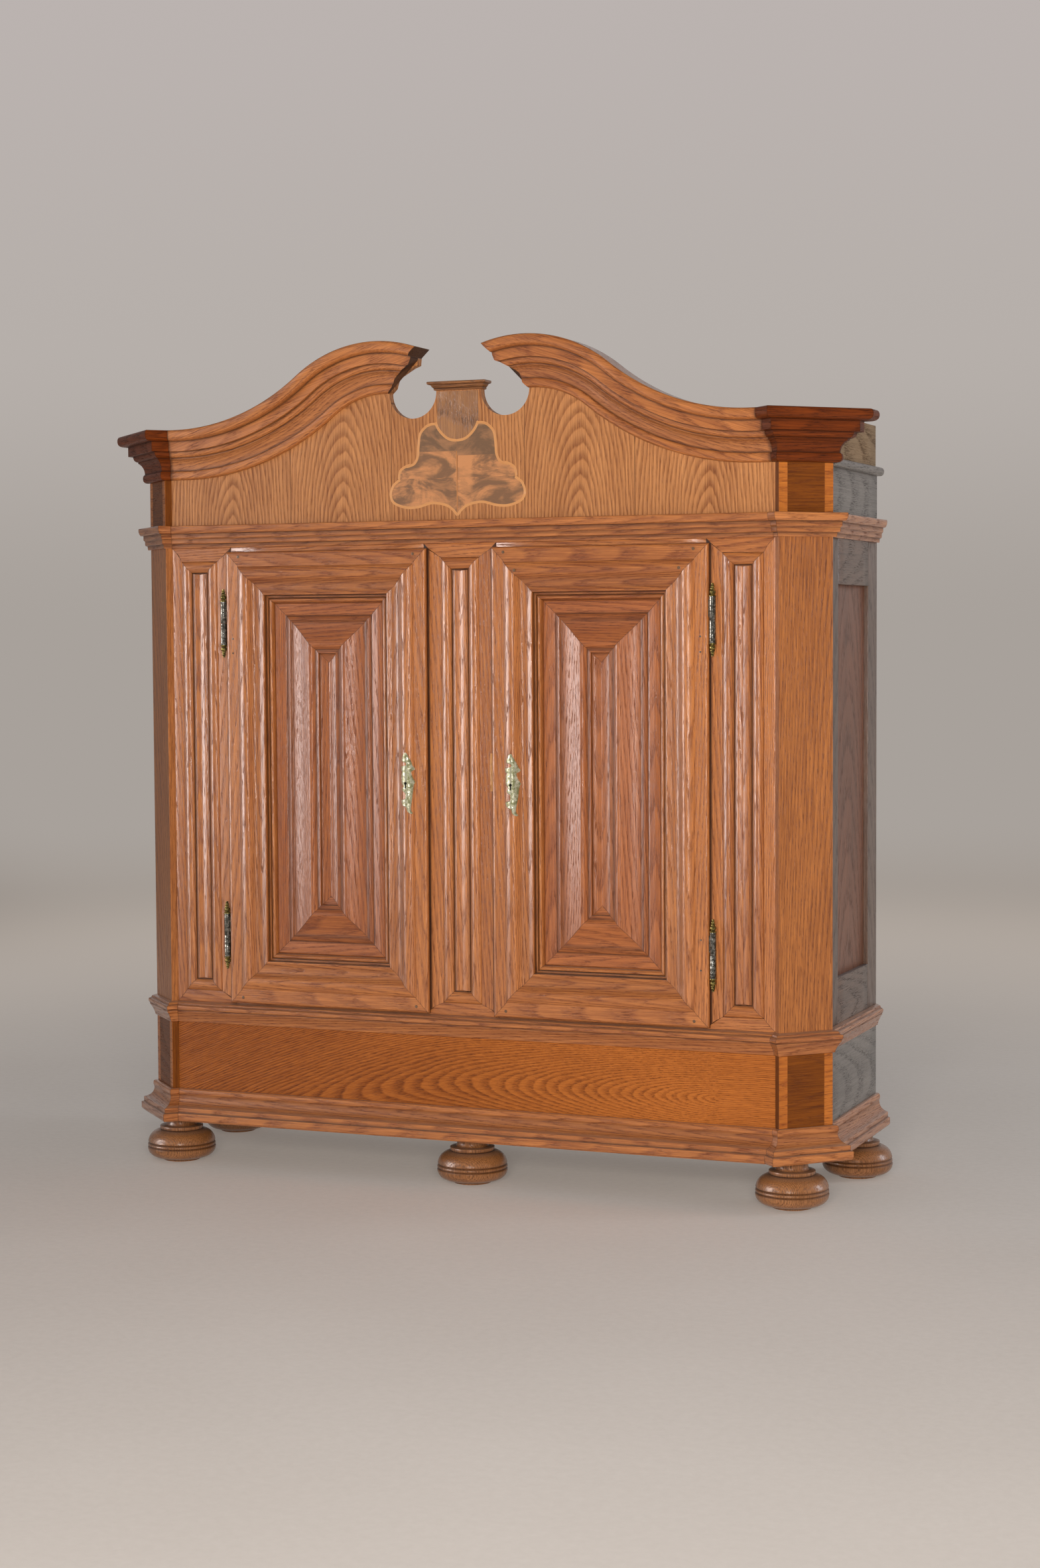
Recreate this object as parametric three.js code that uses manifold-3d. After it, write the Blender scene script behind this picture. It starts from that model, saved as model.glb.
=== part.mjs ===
import * as THREE from 'three';
import { mergeVertices } from 'three/addons/utils/BufferGeometryUtils.js';
import Module from 'manifold-3d';

// A baroque kas cupboard: ball feet, a plinth base, a two-door body with cut corners,
// and a broken swan-neck pediment. Millimetres, +Z up, front towards -Y.
// Inside this file y = 0 is the plane of the fixed front frame and x = 0 the middle.

const wasm = await Module();
wasm.setup();

// Plan of the case
const frontHalfWidth = 880;   // middle to the inner edge of the corner pilaster
const cornerCut = 112;        // length of the cut corner along the front and along the side
const pilasterProud = 19.3;   // pilaster in front of the cut corner
const caseDepth = 601;        // front frame face to back face
const wall = 28;              // thickness of posts, frames, rails and base boards
const backThickness = 16;
const boardThickness = 22;    // floor, top and shelves

// Heights of the stages, from the floor up
const footHeight = 127;
const baseMouldingHeight = 89;
const baseBoardHeight = 190;
const sillMouldingHeight = 60;
const bodyHeight = 1278;
const architraveHeight = 62;
const friezeHeight = 128;
const corniceHeight = 135;

// How far each moulding stands in front of the face behind it
const baseMouldingProjection = 40.5;
const sillMouldingProjection = 20.5;
const architraveProjection = 28.9;
const corniceProjection = 75;

// Joints between pieces
const seat = 0.3;             // glue line or dry fit between two fixed pieces
const sawCut = 30;            // how far a cut runs past what it cuts

// Where the stages begin
const baseLevel = footHeight;
const sillLevel = baseLevel + baseMouldingHeight + baseBoardHeight;
const bodyLevel = sillLevel + sillMouldingHeight;
const architraveLevel = bodyLevel + bodyHeight;
const friezeLevel = architraveLevel + architraveHeight;
const corniceLevel = friezeLevel + friezeHeight;
const crownLevel = corniceLevel + corniceHeight;
const sidePlane = frontHalfWidth + cornerCut;
const innerSide = sidePlane - wall;
const backInner = caseDepth - backThickness;

// Feet
const foot = {
  radius: 97,
  tenonRadius: 16,
  tenonLength: 24,
  frontInset: 84,         // side plane to the axis of a front foot
  frontY: 58,
  rearInset: 27,          // side plane to the axis of a rear foot
  rearSetback: 97,        // back face to the axis of a rear foot
  sides: 20,
};

// Bottom board that the feet are tenoned into
const bottomThickness = 28;
const tenonClearance = 0.4;

// Doors, measured on the right-hand one
const door = {
  bottomGap: 3,           // lip above the sill moulding
  topGap: 12.5,           // lip below the architrave
  lip: 12.5,              // lip overlapping the front frame
  lipRound: 8,
  proud: 15,              // frame face in front of the fixed front
  depth: 20,              // frame back behind the fixed front
  clearance: 0.5,         // lip off the fixed front
  sideClearance: 2,       // door body to the opening
  endClearance: 1.5,
  stileFace: 36.5,        // flat of the frame outside the bolection
  railFace: 40.5,
};

// Bolection moulding on the door frame
const bolection = {
  width: 103,
  height: 31,             // crest in front of the fixed front
  rebate: 38,             // part of the width that lies on the frame
  foot: 11.4,             // inner foot behind the fixed front
};

// Raised panel of the door
const panel = {
  margin: 45,             // flat between the bolection and the raised part
  raised: 82,             // width of the raised moulding
  stepWidth: 7,
  crest: 17,              // raised moulding in front of the fixed front
  troughHalf: 31,         // half width of the trough in the middle
  troughDepth: 12,
};

// Fixed lisenes beside and between the doors
const lisene = {
  middleHalf: 106,        // half width of the middle one
  outerWidth: 186,        // width of the ones beside the pilasters
  openingHalf: 56,
  openingOffset: 86,      // panel middle to the pilaster edge
  bottomRail: 33,
  topRail: 38,
  roll: 9,                // crest in front of the fixed front
};

// Panelled sides
const sideFrame = {
  frontStile: 87,
  rearStile: 93,
  bottomRail: 122,
  topRail: 120,
  panelRecess: 12,
  panelThickness: 9,
  panelLap: 9,
};

// Shelves, lower edge above the floor board
const shelf = {
  lowerRise: 400,
  upperRise: 820,
  setback: 60,
  housing: 5,
};

// Pediment
const neck = {
  flatRun: 49,            // pilaster edge to where the crown line begins to climb
  peakX: 215,
  rise: 216,
  hollowShare: 0.615,     // share of both bends' radii that the lower, hollow bend has
  crownDepth: 30,         // crown member that lies over the pediment board
  boardThickness: 25,
  stepsPerBend: 8,
};
const cutout = {
  centreX: 134.5,
  rise: 81,               // centre above the crown level of the corners
  radius: 69.5,
  plinthHalf: 65,
  plinthRise: 83,
  tipX: 95,               // middle to the tip of the crown
  arcSteps: 16,
};
const cap = {
  height: 23.5,
  projection: 20,
};
const cornerStub = 62;        // stump of the lost side cornice behind each corner
const sideAstragal = { height: 24, projection: 20, drop: 8 };
const groundBoard = { height: 114, setback: 4 };

// Pin hinges
const hinge = {
  lipGap: 10,             // door lip to the axis
  y: -10,
  radius: 8.5,
  pinRadius: 2.9,
  boreClearance: 0.35,
  barrelHalf: 60,
  finial: 35,
  split: 0.5,
  leafThickness: 2.5,
  fixedLeafReach: 26,
  doorLeafReach: 24,
  leafMargin: 8,
  upperDrop: 211,         // architrave to the middle of the upper hinge
  lowerRise: 194,         // sill moulding to the middle of the lower hinge
  sides: 10,
};

// Locks and escutcheons
const lock = {
  rise: 630,              // sill moulding to the middle of the keyhole
  width: 100,
  height: 90,
  thickness: 24,
  edgeGap: 4,
  boltLength: 70,
  boltHeight: 24,
  boltThickness: 8,
  boltClearance: 0.5,
  boltSetback: 9.5,
  guide: 88,
};
const escutcheon = {
  inset: 22,              // edge of the bolection to the keyhole
  width: 47,
  height: 166,
  thickness: 2,
};
const keyhole = { radius: 4, slotWidth: 4.5, slotLength: 12, sides: 10 };

// Outlines of the mouldings, bottom to top, in shares of projection and height.
// Two numbers are a corner; four are the pull point and the end of a curve.
const corniceShares = [
  [0.05, 0],
  [0.22, 0, 0.22, 0.1],
  [0.22, 0.18, 0.157, 0.185],
  [0.16, 0.33, 0.32, 0.411],
  [0.36, 0.426],
  [0.36, 0.452],
  [0.5, 0.46, 0.52, 0.57],
  [0.667, 0.578],
  [0.667, 0.778],
  [0.827, 0.785],
  [1, 0.8, 1, 0.911],
  [1, 0.985, 0.933, 1],
];
const architraveShares = [
  [0.24, 0],
  [0.29, 0.18],
  [0.38, 0.185],
  [0.46, 0.2, 0.474, 0.258],
  [0.474, 0.387],
  [0.606, 0.468],
  [0.606, 0.645],
  [0.81, 0.66],
  [0.97, 0.73, 1, 0.9],
  [1, 1, 0.917, 1],
];
const sillMouldingShares = [
  [0.146, 0],
  [0.234, 0.017],
  [0.33, 0.25, 0.854, 0.517],
  [0.854, 0.583],
  [1, 0.6, 1, 0.7],
  [1, 0.78, 0.951, 0.783],
  [0.683, 0.833],
  [0.6, 0.93, 0.488, 0.933],
  [0.05, 1],
];
const baseMouldingShares = [
  [0.914, 0],
  [1, 0.06],
  [1, 0.247],
  [0.852, 0.27],
  [0.852, 0.421],
  [0.815, 0.427],
  [0.28, 0.5, 0.235, 0.742],
  [0.252, 0.8],
  [0.32, 0.85, 0.284, 0.93],
  [0.25, 1, 0.05, 1],
];
const capShares = [
  [0, 0],
  [0.3, 0.02, 0.3, 0.16],
  [0.25, 0.24],
  [0.45, 0.34, 0.6, 0.62],
  [0.85, 0.66],
  [1, 0.74],
  [1, 0.95],
  [0.94, 1],
];
// Foot: shares of the ball's radius and of the foot's height
const footShares = [
  [0.536, 0],
  [0.536, 0.047],
  [0.98, 0.06, 1, 0.29],
  [0.965, 0.315],
  [0.995, 0.345],
  [0.99, 0.375],
  [0.955, 0.4],
  [0.985, 0.43],
  [0.93, 0.66, 0.6, 0.69],
  [0.63, 0.709],
  [0.63, 0.772],
  [0.47, 0.785],
  [0.4, 0.87, 0.46, 0.955],
  [0.474, 0.965],
  [0.474, 1],
];
// Bolection: shares of its width from the outer edge and of its height
const bolectionShares = [
  [0, 0.5],
  [0.08, 0.99, 0.233, 1],
  [0.36, 1, 0.42, 0.68],
  [0.46, 0.48, 0.56, 0.5],
  [0.66, 0.52, 0.7, 0.64],
  [0.78, 0.66, 0.785, 0.1],
  [0.87, 0.2, 0.92, 0],
];
// Raised moulding of the door panel: shares of its width and of its crest height
const raisedShares = [
  [0.02, 0.25],
  [0.06, 0.36, 0.1, 0.2],
  [0.27, 0.04],
  [0.42, 0.4, 0.6, 0.9],
  [0.7, 1.12, 0.78, 0.62],
  [0.82, 0.2],
  [0.87, 0.3, 0.93, 0],
  [1, -0.38],
];
// Lisene moulding: shares of the half opening from its edge and of the roll's height
const liseneShares = [
  [0, 0],
  [0.08, 0.9, 0.27, 1],
  [0.45, 0.8, 0.545, -0.66],
  [0.6, -0.1, 0.66, -0.5],
  [0.68, -1],
  [0.8, -1.18, 0.96, -1.2],
];
// Rounded lip of a door: shares of the rounding's width and of the frame's stand
const lipShares = [
  [0, 0.55],
  [0.1, 0.95, 1, 1],
];
// Trough in the middle of a door panel: shares of its half width and of its depth
const troughShares = [
  [0, 0.55],
  [0.4, 0.98, 0.92, 1],
];
// Astragal left on the sides: shares of its projection and height
const sideAstragalShares = [
  [0, 0],
  [0.5, 0],
  [1, 0.1, 1, 0.55],
  [0.95, 1, 0.3, 1],
];
// Sawn end of each swan neck: shares of its run towards the middle and of its climb
const neckEndShares = [
  [0.128, 0.12],
  [0.156, 0.22],
  [0.2, 0.33],
  [0.294, 0.4],
  [0.615, 0.575],
  [0.77, 0.63],
  [0.79, 0.81],
  [1, 1],
];
// Turned finial of a hinge: shares of the barrel's radius and of the finial's length
const finialShares = [
  [1, 0],
  [1.12, 0.06],
  [1.12, 0.14],
  [0.75, 0.22],
  [1.05, 0.34],
  [0.8, 0.52],
  [0.42, 0.6],
  [0.62, 0.76],
  [0.4, 0.94],
];
// Right half of the escutcheon: shares of half its width and of half its height
const escutcheonShares = [
  [0.18, 0.9],
  [0.5, 0.8],
  [0.36, 0.62],
  [0.78, 0.44],
  [0.62, 0.24],
  [0.98, 0.06],
  [0.7, -0.14],
  [0.84, -0.34],
  [0.44, -0.5],
  [0.56, -0.7],
  [0.2, -0.84],
];

// Materials

const oak = new THREE.MeshStandardMaterial({ color: 0xa5622f, roughness: 0.42, metalness: 0 });
const darkOak = new THREE.MeshStandardMaterial({ color: 0x7a3f1c, roughness: 0.38, metalness: 0 });
const veneer = new THREE.MeshStandardMaterial({ color: 0x9a5b2b, roughness: 0.4, metalness: 0 });
const innerOak = new THREE.MeshStandardMaterial({ color: 0x8b7358, roughness: 0.7, metalness: 0 });
const iron = new THREE.MeshStandardMaterial({ color: 0x3a332c, roughness: 0.45, metalness: 0.9 });
const brass = new THREE.MeshStandardMaterial({ color: 0x8f8763, roughness: 0.4, metalness: 0.9 });

const cupboard = new THREE.Group();

function add(name, geometry, material) {
  const mesh = new THREE.Mesh(geometry, material);
  mesh.name = name;
  cupboard.add(mesh);
}

// Adds the right-hand piece and its mirror image on the left
function addPair(name, geometry, material, suffix = '') {
  add(`${name}_right${suffix}`, geometry, material);
  add(`${name}_left${suffix}`, mirrored(geometry), material);
}

// Geometry tools

// Turns a table of shares into points; a curve is split into equal steps
function trace(shares, across, up, curveSteps = 4) {
  const points = [];
  shares.forEach((row, index) => {
    const end = new THREE.Vector2(row[row.length - 2] * across, row[row.length - 1] * up);
    if (row.length === 4 && index > 0) {
      const pull = new THREE.Vector2(row[0] * across, row[1] * up);
      const curve = new THREE.QuadraticBezierCurve(points[points.length - 1], pull, end);
      points.push(...curve.getPoints(curveSteps).slice(1));
    } else {
      points.push(end);
    }
  });
  return points;
}

// Six times the volume that the triangles enclose, negative when they face inwards
function signedVolume(position, index) {
  const a = new THREE.Vector3();
  const b = new THREE.Vector3();
  const c = new THREE.Vector3();
  let sum = 0;
  for (let i = 0; i < index.length; i += 3) {
    a.fromBufferAttribute(position, index[i]);
    b.fromBufferAttribute(position, index[i + 1]);
    c.fromBufferAttribute(position, index[i + 2]);
    sum += a.dot(b.cross(c));
  }
  return sum;
}

// Geometry from points and triangles, turned so that its faces point outwards
function shell(points, index) {
  const geometry = new THREE.BufferGeometry();
  geometry.setAttribute('position', new THREE.Float32BufferAttribute(points.flat(), 3));
  const facing = signedVolume(geometry.attributes.position, index) > 0;
  const outward = facing ? index : index.slice().reverse();
  geometry.setIndex(outward);
  geometry.computeVertexNormals();
  return geometry;
}

// Triangles that fill an outline, all turned the same way as the outline
function capTriangles(outline) {
  const way = Math.sign(THREE.ShapeUtils.area(outline));
  return THREE.ShapeUtils.triangulateShape(outline, []).map((face) => {
    const faceWay = Math.sign(THREE.ShapeUtils.area(face.map((corner) => outline[corner])));
    return faceWay === way ? face : face.slice().reverse();
  });
}

// Skin over a row of rings with the same number of points. With an outline the two
// end rings are closed by flat ends; without one the last ring joins the first.
function loft(rings, outline) {
  const size = rings[0].length;
  const index = [];
  const spans = outline ? rings.length - 1 : rings.length;
  for (let i = 0; i < spans; i += 1) {
    const from = i * size;
    const to = ((i + 1) % rings.length) * size;
    for (let j = 0; j < size; j += 1) {
      const next = (j + 1) % size;
      index.push(from + j, from + next, to + next);
      index.push(from + j, to + next, to + j);
    }
  }
  if (outline) {
    const last = (rings.length - 1) * size;
    capTriangles(outline).forEach(([a, b, c]) => {
      index.push(c, b, a);
      index.push(last + a, last + b, last + c);
    });
  }
  return shell(rings.flat(), index);
}

// Outline in x and z, given thickness from yFront to yBack
function plateXZ(outline, yFront, yBack) {
  const ring = (y) => outline.map((point) => [point.x, y, point.y]);
  return loft([ring(yFront), ring(yBack)], outline);
}

// Outline in x and y, standing from zLow to zHigh
function standing(outline, zLow, zHigh) {
  const ring = (z) => outline.map((point) => [point.x, point.y, z]);
  return loft([ring(zLow), ring(zHigh)], outline);
}

function block(xLow, xHigh, yLow, yHigh, zLow, zHigh) {
  return standing(rectangle(xLow, xHigh, yLow, yHigh), zLow, zHigh);
}

function rectangle(uLow, uHigh, vLow, vHigh) {
  return [
    new THREE.Vector2(uLow, vLow),
    new THREE.Vector2(uHigh, vLow),
    new THREE.Vector2(uHigh, vHigh),
    new THREE.Vector2(uLow, vHigh),
  ];
}

function circle(centreX, centreY, radius, sides) {
  return Array.from({ length: sides }, (_, i) => {
    const angle = (2 * Math.PI * i) / sides;
    return new THREE.Vector2(centreX + radius * Math.cos(angle), centreY + radius * Math.sin(angle));
  });
}

function mirrored(geometry) {
  const points = [];
  const position = geometry.attributes.position;
  for (let i = 0; i < position.count; i += 1) {
    points.push([-position.getX(i), position.getY(i), position.getZ(i)]);
  }
  return shell(points, Array.from(geometry.index.array));
}

// Turned piece on a vertical axis; the profile starts and ends on the axis
function turned(profile, centreX, centreY, sides) {
  const geometry = new THREE.LatheGeometry(profile, sides);
  geometry.rotateX(Math.PI / 2);
  geometry.translate(centreX, centreY, 0);
  return fromSolid(toSolid(geometry));
}

function toSolid(geometry) {
  const bare = geometry.clone();
  bare.deleteAttribute('normal');
  bare.deleteAttribute('uv');
  const merged = mergeVertices(bare);
  const triangles = [];
  for (let i = 0; i < merged.index.count; i += 3) {
    const [a, b, c] = [0, 1, 2].map((step) => merged.index.getX(i + step));
    if (a !== b && b !== c && c !== a) {
      triangles.push(a, b, c);
    }
  }
  if (signedVolume(merged.attributes.position, triangles) < 0) {
    triangles.reverse();
  }
  return new wasm.Manifold(new wasm.Mesh({
    numProp: 3,
    vertProperties: new Float32Array(merged.attributes.position.array),
    triVerts: Uint32Array.from(triangles),
  }));
}

function fromSolid(solid) {
  const mesh = solid.getMesh();
  const geometry = new THREE.BufferGeometry();
  geometry.setAttribute('position', new THREE.BufferAttribute(mesh.vertProperties, mesh.numProp));
  geometry.setIndex(Array.from(mesh.triVerts));
  geometry.computeVertexNormals();
  return geometry;
}

function cutFrom(geometry, ...cutters) {
  return fromSolid(cutters.reduce((solid, cutter) => solid.subtract(toSolid(cutter)), toSolid(geometry)));
}

function joined(...geometries) {
  return fromSolid(geometries.map(toSolid).reduce((whole, piece) => whole.add(piece)));
}

// Nested rectangles: a rectangle is its four edges, a ring is a rectangle at a height
const edges = (left, right, low, high) => ({ left, right, low, high });
const inset = (box, across, up = across) => edges(
  box.left + across,
  box.right - across,
  box.low + up,
  box.high - up,
);

// Ring of a front piece; proud is the distance in front of the fixed front
function frontRing(box, proud) {
  return rectangle(box.left, box.right, box.low, box.high).map((point) => [point.x, -proud, point.y]);
}

// Ring of a side piece; proud is the distance outside the side plane
function sideRing(box, proud) {
  return rectangle(box.left, box.right, box.low, box.high)
    .map((point) => [sidePlane + proud, point.x, point.y]);
}

// Rectangular plate whose face steps through the rings, with flat ends
function steppedPlate(rings) {
  return loft(rings, rectangle(-1, 1, -1, 1));
}

// Plan of the case

const corner = pilasterProud / Math.SQRT2;
const planRight = [
  new THREE.Vector2(frontHalfWidth, 0),
  new THREE.Vector2(frontHalfWidth + corner, -corner),
  new THREE.Vector2(sidePlane + corner, cornerCut - corner),
  new THREE.Vector2(sidePlane, cornerCut),
  new THREE.Vector2(sidePlane, caseDepth),
];
const planLeft = planRight.map((point) => new THREE.Vector2(-point.x, point.y)).reverse();
const plan = [...planLeft, ...planRight];
const frontCorner = planLeft.length;
const faceCorner = frontCorner + 1;
const rearFaceCorner = frontCorner + 2;

function planNormal(from, to) {
  const run = to.clone().sub(from).normalize();
  return new THREE.Vector2(run.y, -run.x);
}

// Point that lies off the plan's corner by the given projection, on the mitre
function mitrePoint(station, projection) {
  const here = plan[station];
  const before = station > 0 ? planNormal(plan[station - 1], here) : null;
  const after = station < plan.length - 1 ? planNormal(here, plan[station + 1]) : null;
  const one = before ?? after;
  const two = after ?? before;
  const spread = one.clone().add(two).multiplyScalar(projection / (1 + one.dot(two)));
  return here.clone().add(spread);
}

function mouldingRing(outline, level, station) {
  return outline.map((point) => {
    const place = mitrePoint(station, point.x);
    return [place.x, place.y, level + point.y];
  });
}

// Moulding outline closed at the glue line on its back
function planted(shares, projection, height, curveSteps) {
  const face = trace(shares, projection, height, curveSteps);
  return [...face, new THREE.Vector2(seat, height), new THREE.Vector2(seat, 0)];
}

// Moulding carried round front, corners and sides
function wrapMoulding(shares, projection, height, level) {
  const outline = planted(shares, projection, height, 3);
  return loft(plan.map((_, station) => mouldingRing(outline, level, station)), outline);
}

// Plank across the cut corner, with the pilaster's returns
function cornerPlank(zLow, zHigh) {
  const outline = [
    ...planRight.slice(0, 4),
    new THREE.Vector2(innerSide, cornerCut),
    new THREE.Vector2(frontHalfWidth, wall),
  ];
  return standing(outline, zLow, zHigh);
}

// Board that fills the inside of the case, clear of the corner planks
function innerBoard(frontY, sideX, zLow, zHigh) {
  const slope = seat * Math.SQRT2;
  const half = [
    new THREE.Vector2(frontHalfWidth + (frontY - wall) - slope, frontY),
    new THREE.Vector2(sideX, cornerCut + (sideX - innerSide) + slope),
    new THREE.Vector2(sideX, backInner),
  ];
  const other = half.map((point) => new THREE.Vector2(-point.x, point.y)).reverse();
  return standing([...other, ...half], zLow, zHigh);
}

// Feet

function footPlaces() {
  const frontX = sidePlane - foot.frontInset;
  const rearX = sidePlane - foot.rearInset;
  const rearY = caseDepth - foot.rearSetback;
  return [
    ['foot_front_left', -frontX, foot.frontY],
    ['foot_front_middle', 0, foot.frontY],
    ['foot_front_right', frontX, foot.frontY],
    ['foot_rear_left', -rearX, rearY],
    ['foot_rear_right', rearX, rearY],
  ];
}

function ballFoot(x, y) {
  const tenonTop = footHeight + foot.tenonLength;
  const profile = [
    new THREE.Vector2(0, 0),
    ...trace(footShares, foot.radius, footHeight, 3),
    new THREE.Vector2(foot.tenonRadius, footHeight),
    new THREE.Vector2(foot.tenonRadius, tenonTop),
    new THREE.Vector2(0, tenonTop),
  ];
  return turned(profile, x, y, foot.sides);
}

// Bottom board with a mortise for each foot
function baseBottom() {
  const board = standing(plan, baseLevel, baseLevel + bottomThickness);
  const mortises = footPlaces().map(([, x, y]) => standing(
    circle(x, y, foot.tenonRadius + tenonClearance, foot.sides),
    baseLevel - sawCut,
    baseLevel + foot.tenonLength + tenonClearance,
  ));
  return cutFrom(board, ...mortises);
}

// Front frame

const outerEdge = frontHalfWidth - lisene.outerWidth;
const doorLow = bodyLevel + door.bottomGap;
const doorHigh = architraveLevel - door.topGap;
const openingLow = doorLow + door.lip - door.endClearance;
const openingHigh = doorHigh - door.lip + door.endClearance;
const liseneCentre = frontHalfWidth - lisene.openingOffset;

// Rail across the whole front, with a tongue standing into each door opening
function notchedRail(railLow, railHigh, tongueLow, tongueHigh) {
  const rail = block(-frontHalfWidth, frontHalfWidth, 0, wall, railLow, railHigh);
  const tongue = block(lisene.middleHalf, outerEdge, 0, wall, tongueLow, tongueHigh);
  return joined(rail, tongue, mirrored(tongue));
}

// Lisene: a narrow frame with a moulded panel worked in it
function liseneBoard(left, right, centre) {
  const whole = edges(left, right, bodyLevel, architraveLevel);
  const opening = edges(
    centre - lisene.openingHalf,
    centre + lisene.openingHalf,
    bodyLevel + lisene.bottomRail,
    architraveLevel - lisene.topRail,
  );
  const face = trace(liseneShares, lisene.openingHalf, lisene.roll);
  return steppedPlate([
    frontRing(whole, -wall),
    frontRing(whole, 0),
    ...face.map((point) => frontRing(inset(opening, point.x), point.y)),
  ]);
}

// Doors, right-hand one

const doorOverlap = door.lip - door.sideClearance;
const doorLip = edges(lisene.middleHalf - doorOverlap, outerEdge + doorOverlap, doorLow, doorHigh);
const bolectionOuter = inset(doorLip, door.stileFace, door.railFace);

function doorFrame() {
  const frameInner = inset(bolectionOuter, bolection.rebate);
  const body = inset(doorLip, door.lip);
  const round = trace(lipShares, door.lipRound, door.proud);
  return loft([
    frontRing(doorLip, door.clearance),
    ...round.map((point) => frontRing(inset(doorLip, point.x), point.y)),
    frontRing(frameInner, door.proud),
    frontRing(frameInner, -door.depth),
    frontRing(body, -door.depth),
    frontRing(body, door.clearance),
  ]);
}

function doorBolection() {
  const outer = door.proud + seat;
  const tongue = inset(bolectionOuter, bolection.rebate + seat);
  const face = trace(bolectionShares, bolection.width, bolection.height).slice(1);
  return loft([
    frontRing(bolectionOuter, outer),
    ...face.map((point) => frontRing(inset(bolectionOuter, point.x), point.y)),
    frontRing(inset(bolectionOuter, bolection.width), -bolection.foot),
    frontRing(tongue, -bolection.foot),
    frontRing(tongue, outer),
  ]);
}

function doorPanel() {
  const ground = bolection.foot + seat;
  const whole = inset(bolectionOuter, bolection.rebate + seat);
  const raisedEdge = inset(bolectionOuter, bolection.width + panel.margin);
  const raised = inset(raisedEdge, panel.stepWidth);
  const trough = inset(raised, panel.raised);
  const face = trace(raisedShares, panel.raised, panel.crest);
  const troughFloor = trace(troughShares, panel.troughHalf, panel.troughDepth);
  return steppedPlate([
    frontRing(whole, -door.depth),
    frontRing(whole, -ground),
    frontRing(raisedEdge, -ground),
    ...face.map((point) => frontRing(inset(raised, point.x), point.y)),
    ...troughFloor.slice(1).map((point) => frontRing(inset(trough, point.x), -point.y)),
  ]);
}

// Hinges: the lower half with its pin is let into the lisene, the upper half into the door

const hingeX = doorLip.right + hinge.lipGap;

function finialPoints(shoulder, way) {
  return trace(finialShares, hinge.radius, hinge.finial).map(
    (point) => new THREE.Vector2(point.x, shoulder + way * point.y),
  );
}

function hingePin(level) {
  const tip = level - hinge.barrelHalf - hinge.finial;
  const pinTop = level + hinge.barrelHalf - hinge.leafMargin;
  const profile = [
    new THREE.Vector2(0, tip),
    ...finialPoints(level - hinge.barrelHalf, -1).reverse(),
    new THREE.Vector2(hinge.radius, level - hinge.split),
    new THREE.Vector2(hinge.pinRadius, level - hinge.split),
    new THREE.Vector2(hinge.pinRadius, pinTop),
    new THREE.Vector2(0, pinTop),
  ];
  return joined(turned(profile, hingeX, hinge.y, hinge.sides), fixedLeaf(level, 0));
}

function hingeBarrel(level) {
  const bore = hinge.pinRadius + hinge.boreClearance;
  const boreTop = level + hinge.barrelHalf - hinge.leafMargin + hinge.boreClearance;
  const tip = level + hinge.barrelHalf + hinge.finial;
  const profile = [
    new THREE.Vector2(0, boreTop),
    new THREE.Vector2(bore, boreTop),
    new THREE.Vector2(bore, level),
    new THREE.Vector2(hinge.radius, level),
    ...finialPoints(level + hinge.barrelHalf, 1),
    new THREE.Vector2(0, tip),
  ];
  return joined(turned(profile, hingeX, hinge.y, hinge.sides), doorLeaf(level, 0));
}

// Leaf of the fixed half, or with room round it the mortise that it sits in
function fixedLeaf(level, room) {
  const half = hinge.leafThickness / 2 + room;
  return block(
    hingeX - half,
    hingeX + half,
    hinge.y + (hinge.radius + hinge.pinRadius) / 2,
    hinge.y + hinge.fixedLeafReach + room,
    level - hinge.barrelHalf + hinge.leafMargin - room,
    level - hinge.leafMargin + room,
  );
}

// Leaf of the door half, or its mortise
function doorLeaf(level, room) {
  const half = hinge.leafThickness / 2 + room;
  return block(
    hingeX - hinge.doorLeafReach - room,
    hingeX - (hinge.radius + hinge.pinRadius) / 2,
    hinge.y - half,
    hinge.y + half,
    level + hinge.leafMargin - room,
    level + hinge.barrelHalf - hinge.leafMargin + room,
  );
}

// Locks

const lockEdge = doorLip.left + door.lip + lock.edgeGap;
const lockFront = door.depth + seat;
const lockLevel = bodyLevel + lock.rise;
const keyholeX = bolectionOuter.left + escutcheon.inset;

function keyholeCut(yFront, yBack) {
  const bow = circle(keyholeX, lockLevel, keyhole.radius, keyhole.sides);
  const slot = rectangle(
    keyholeX - keyhole.slotWidth / 2,
    keyholeX + keyhole.slotWidth / 2,
    lockLevel - keyhole.slotLength,
    lockLevel,
  );
  return joined(plateXZ(bow, yFront, yBack), plateXZ(slot, yFront, yBack));
}

function boltBlock(room) {
  const front = lockFront + lock.boltSetback;
  return block(
    lockEdge - (room > 0 ? sawCut : 0),
    lockEdge + (room > 0 ? lock.guide : lock.boltLength),
    front - room,
    front + lock.boltThickness + room,
    lockLevel - lock.boltHeight / 2 - room,
    lockLevel + lock.boltHeight / 2 + room,
  );
}

function lockCase() {
  const box = block(
    lockEdge,
    lockEdge + lock.width,
    lockFront,
    lockFront + lock.thickness,
    lockLevel - lock.height / 2,
    lockLevel + lock.height / 2,
  );
  return cutFrom(box, boltBlock(lock.boltClearance), keyholeCut(0, lockFront + lock.boltSetback));
}

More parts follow.
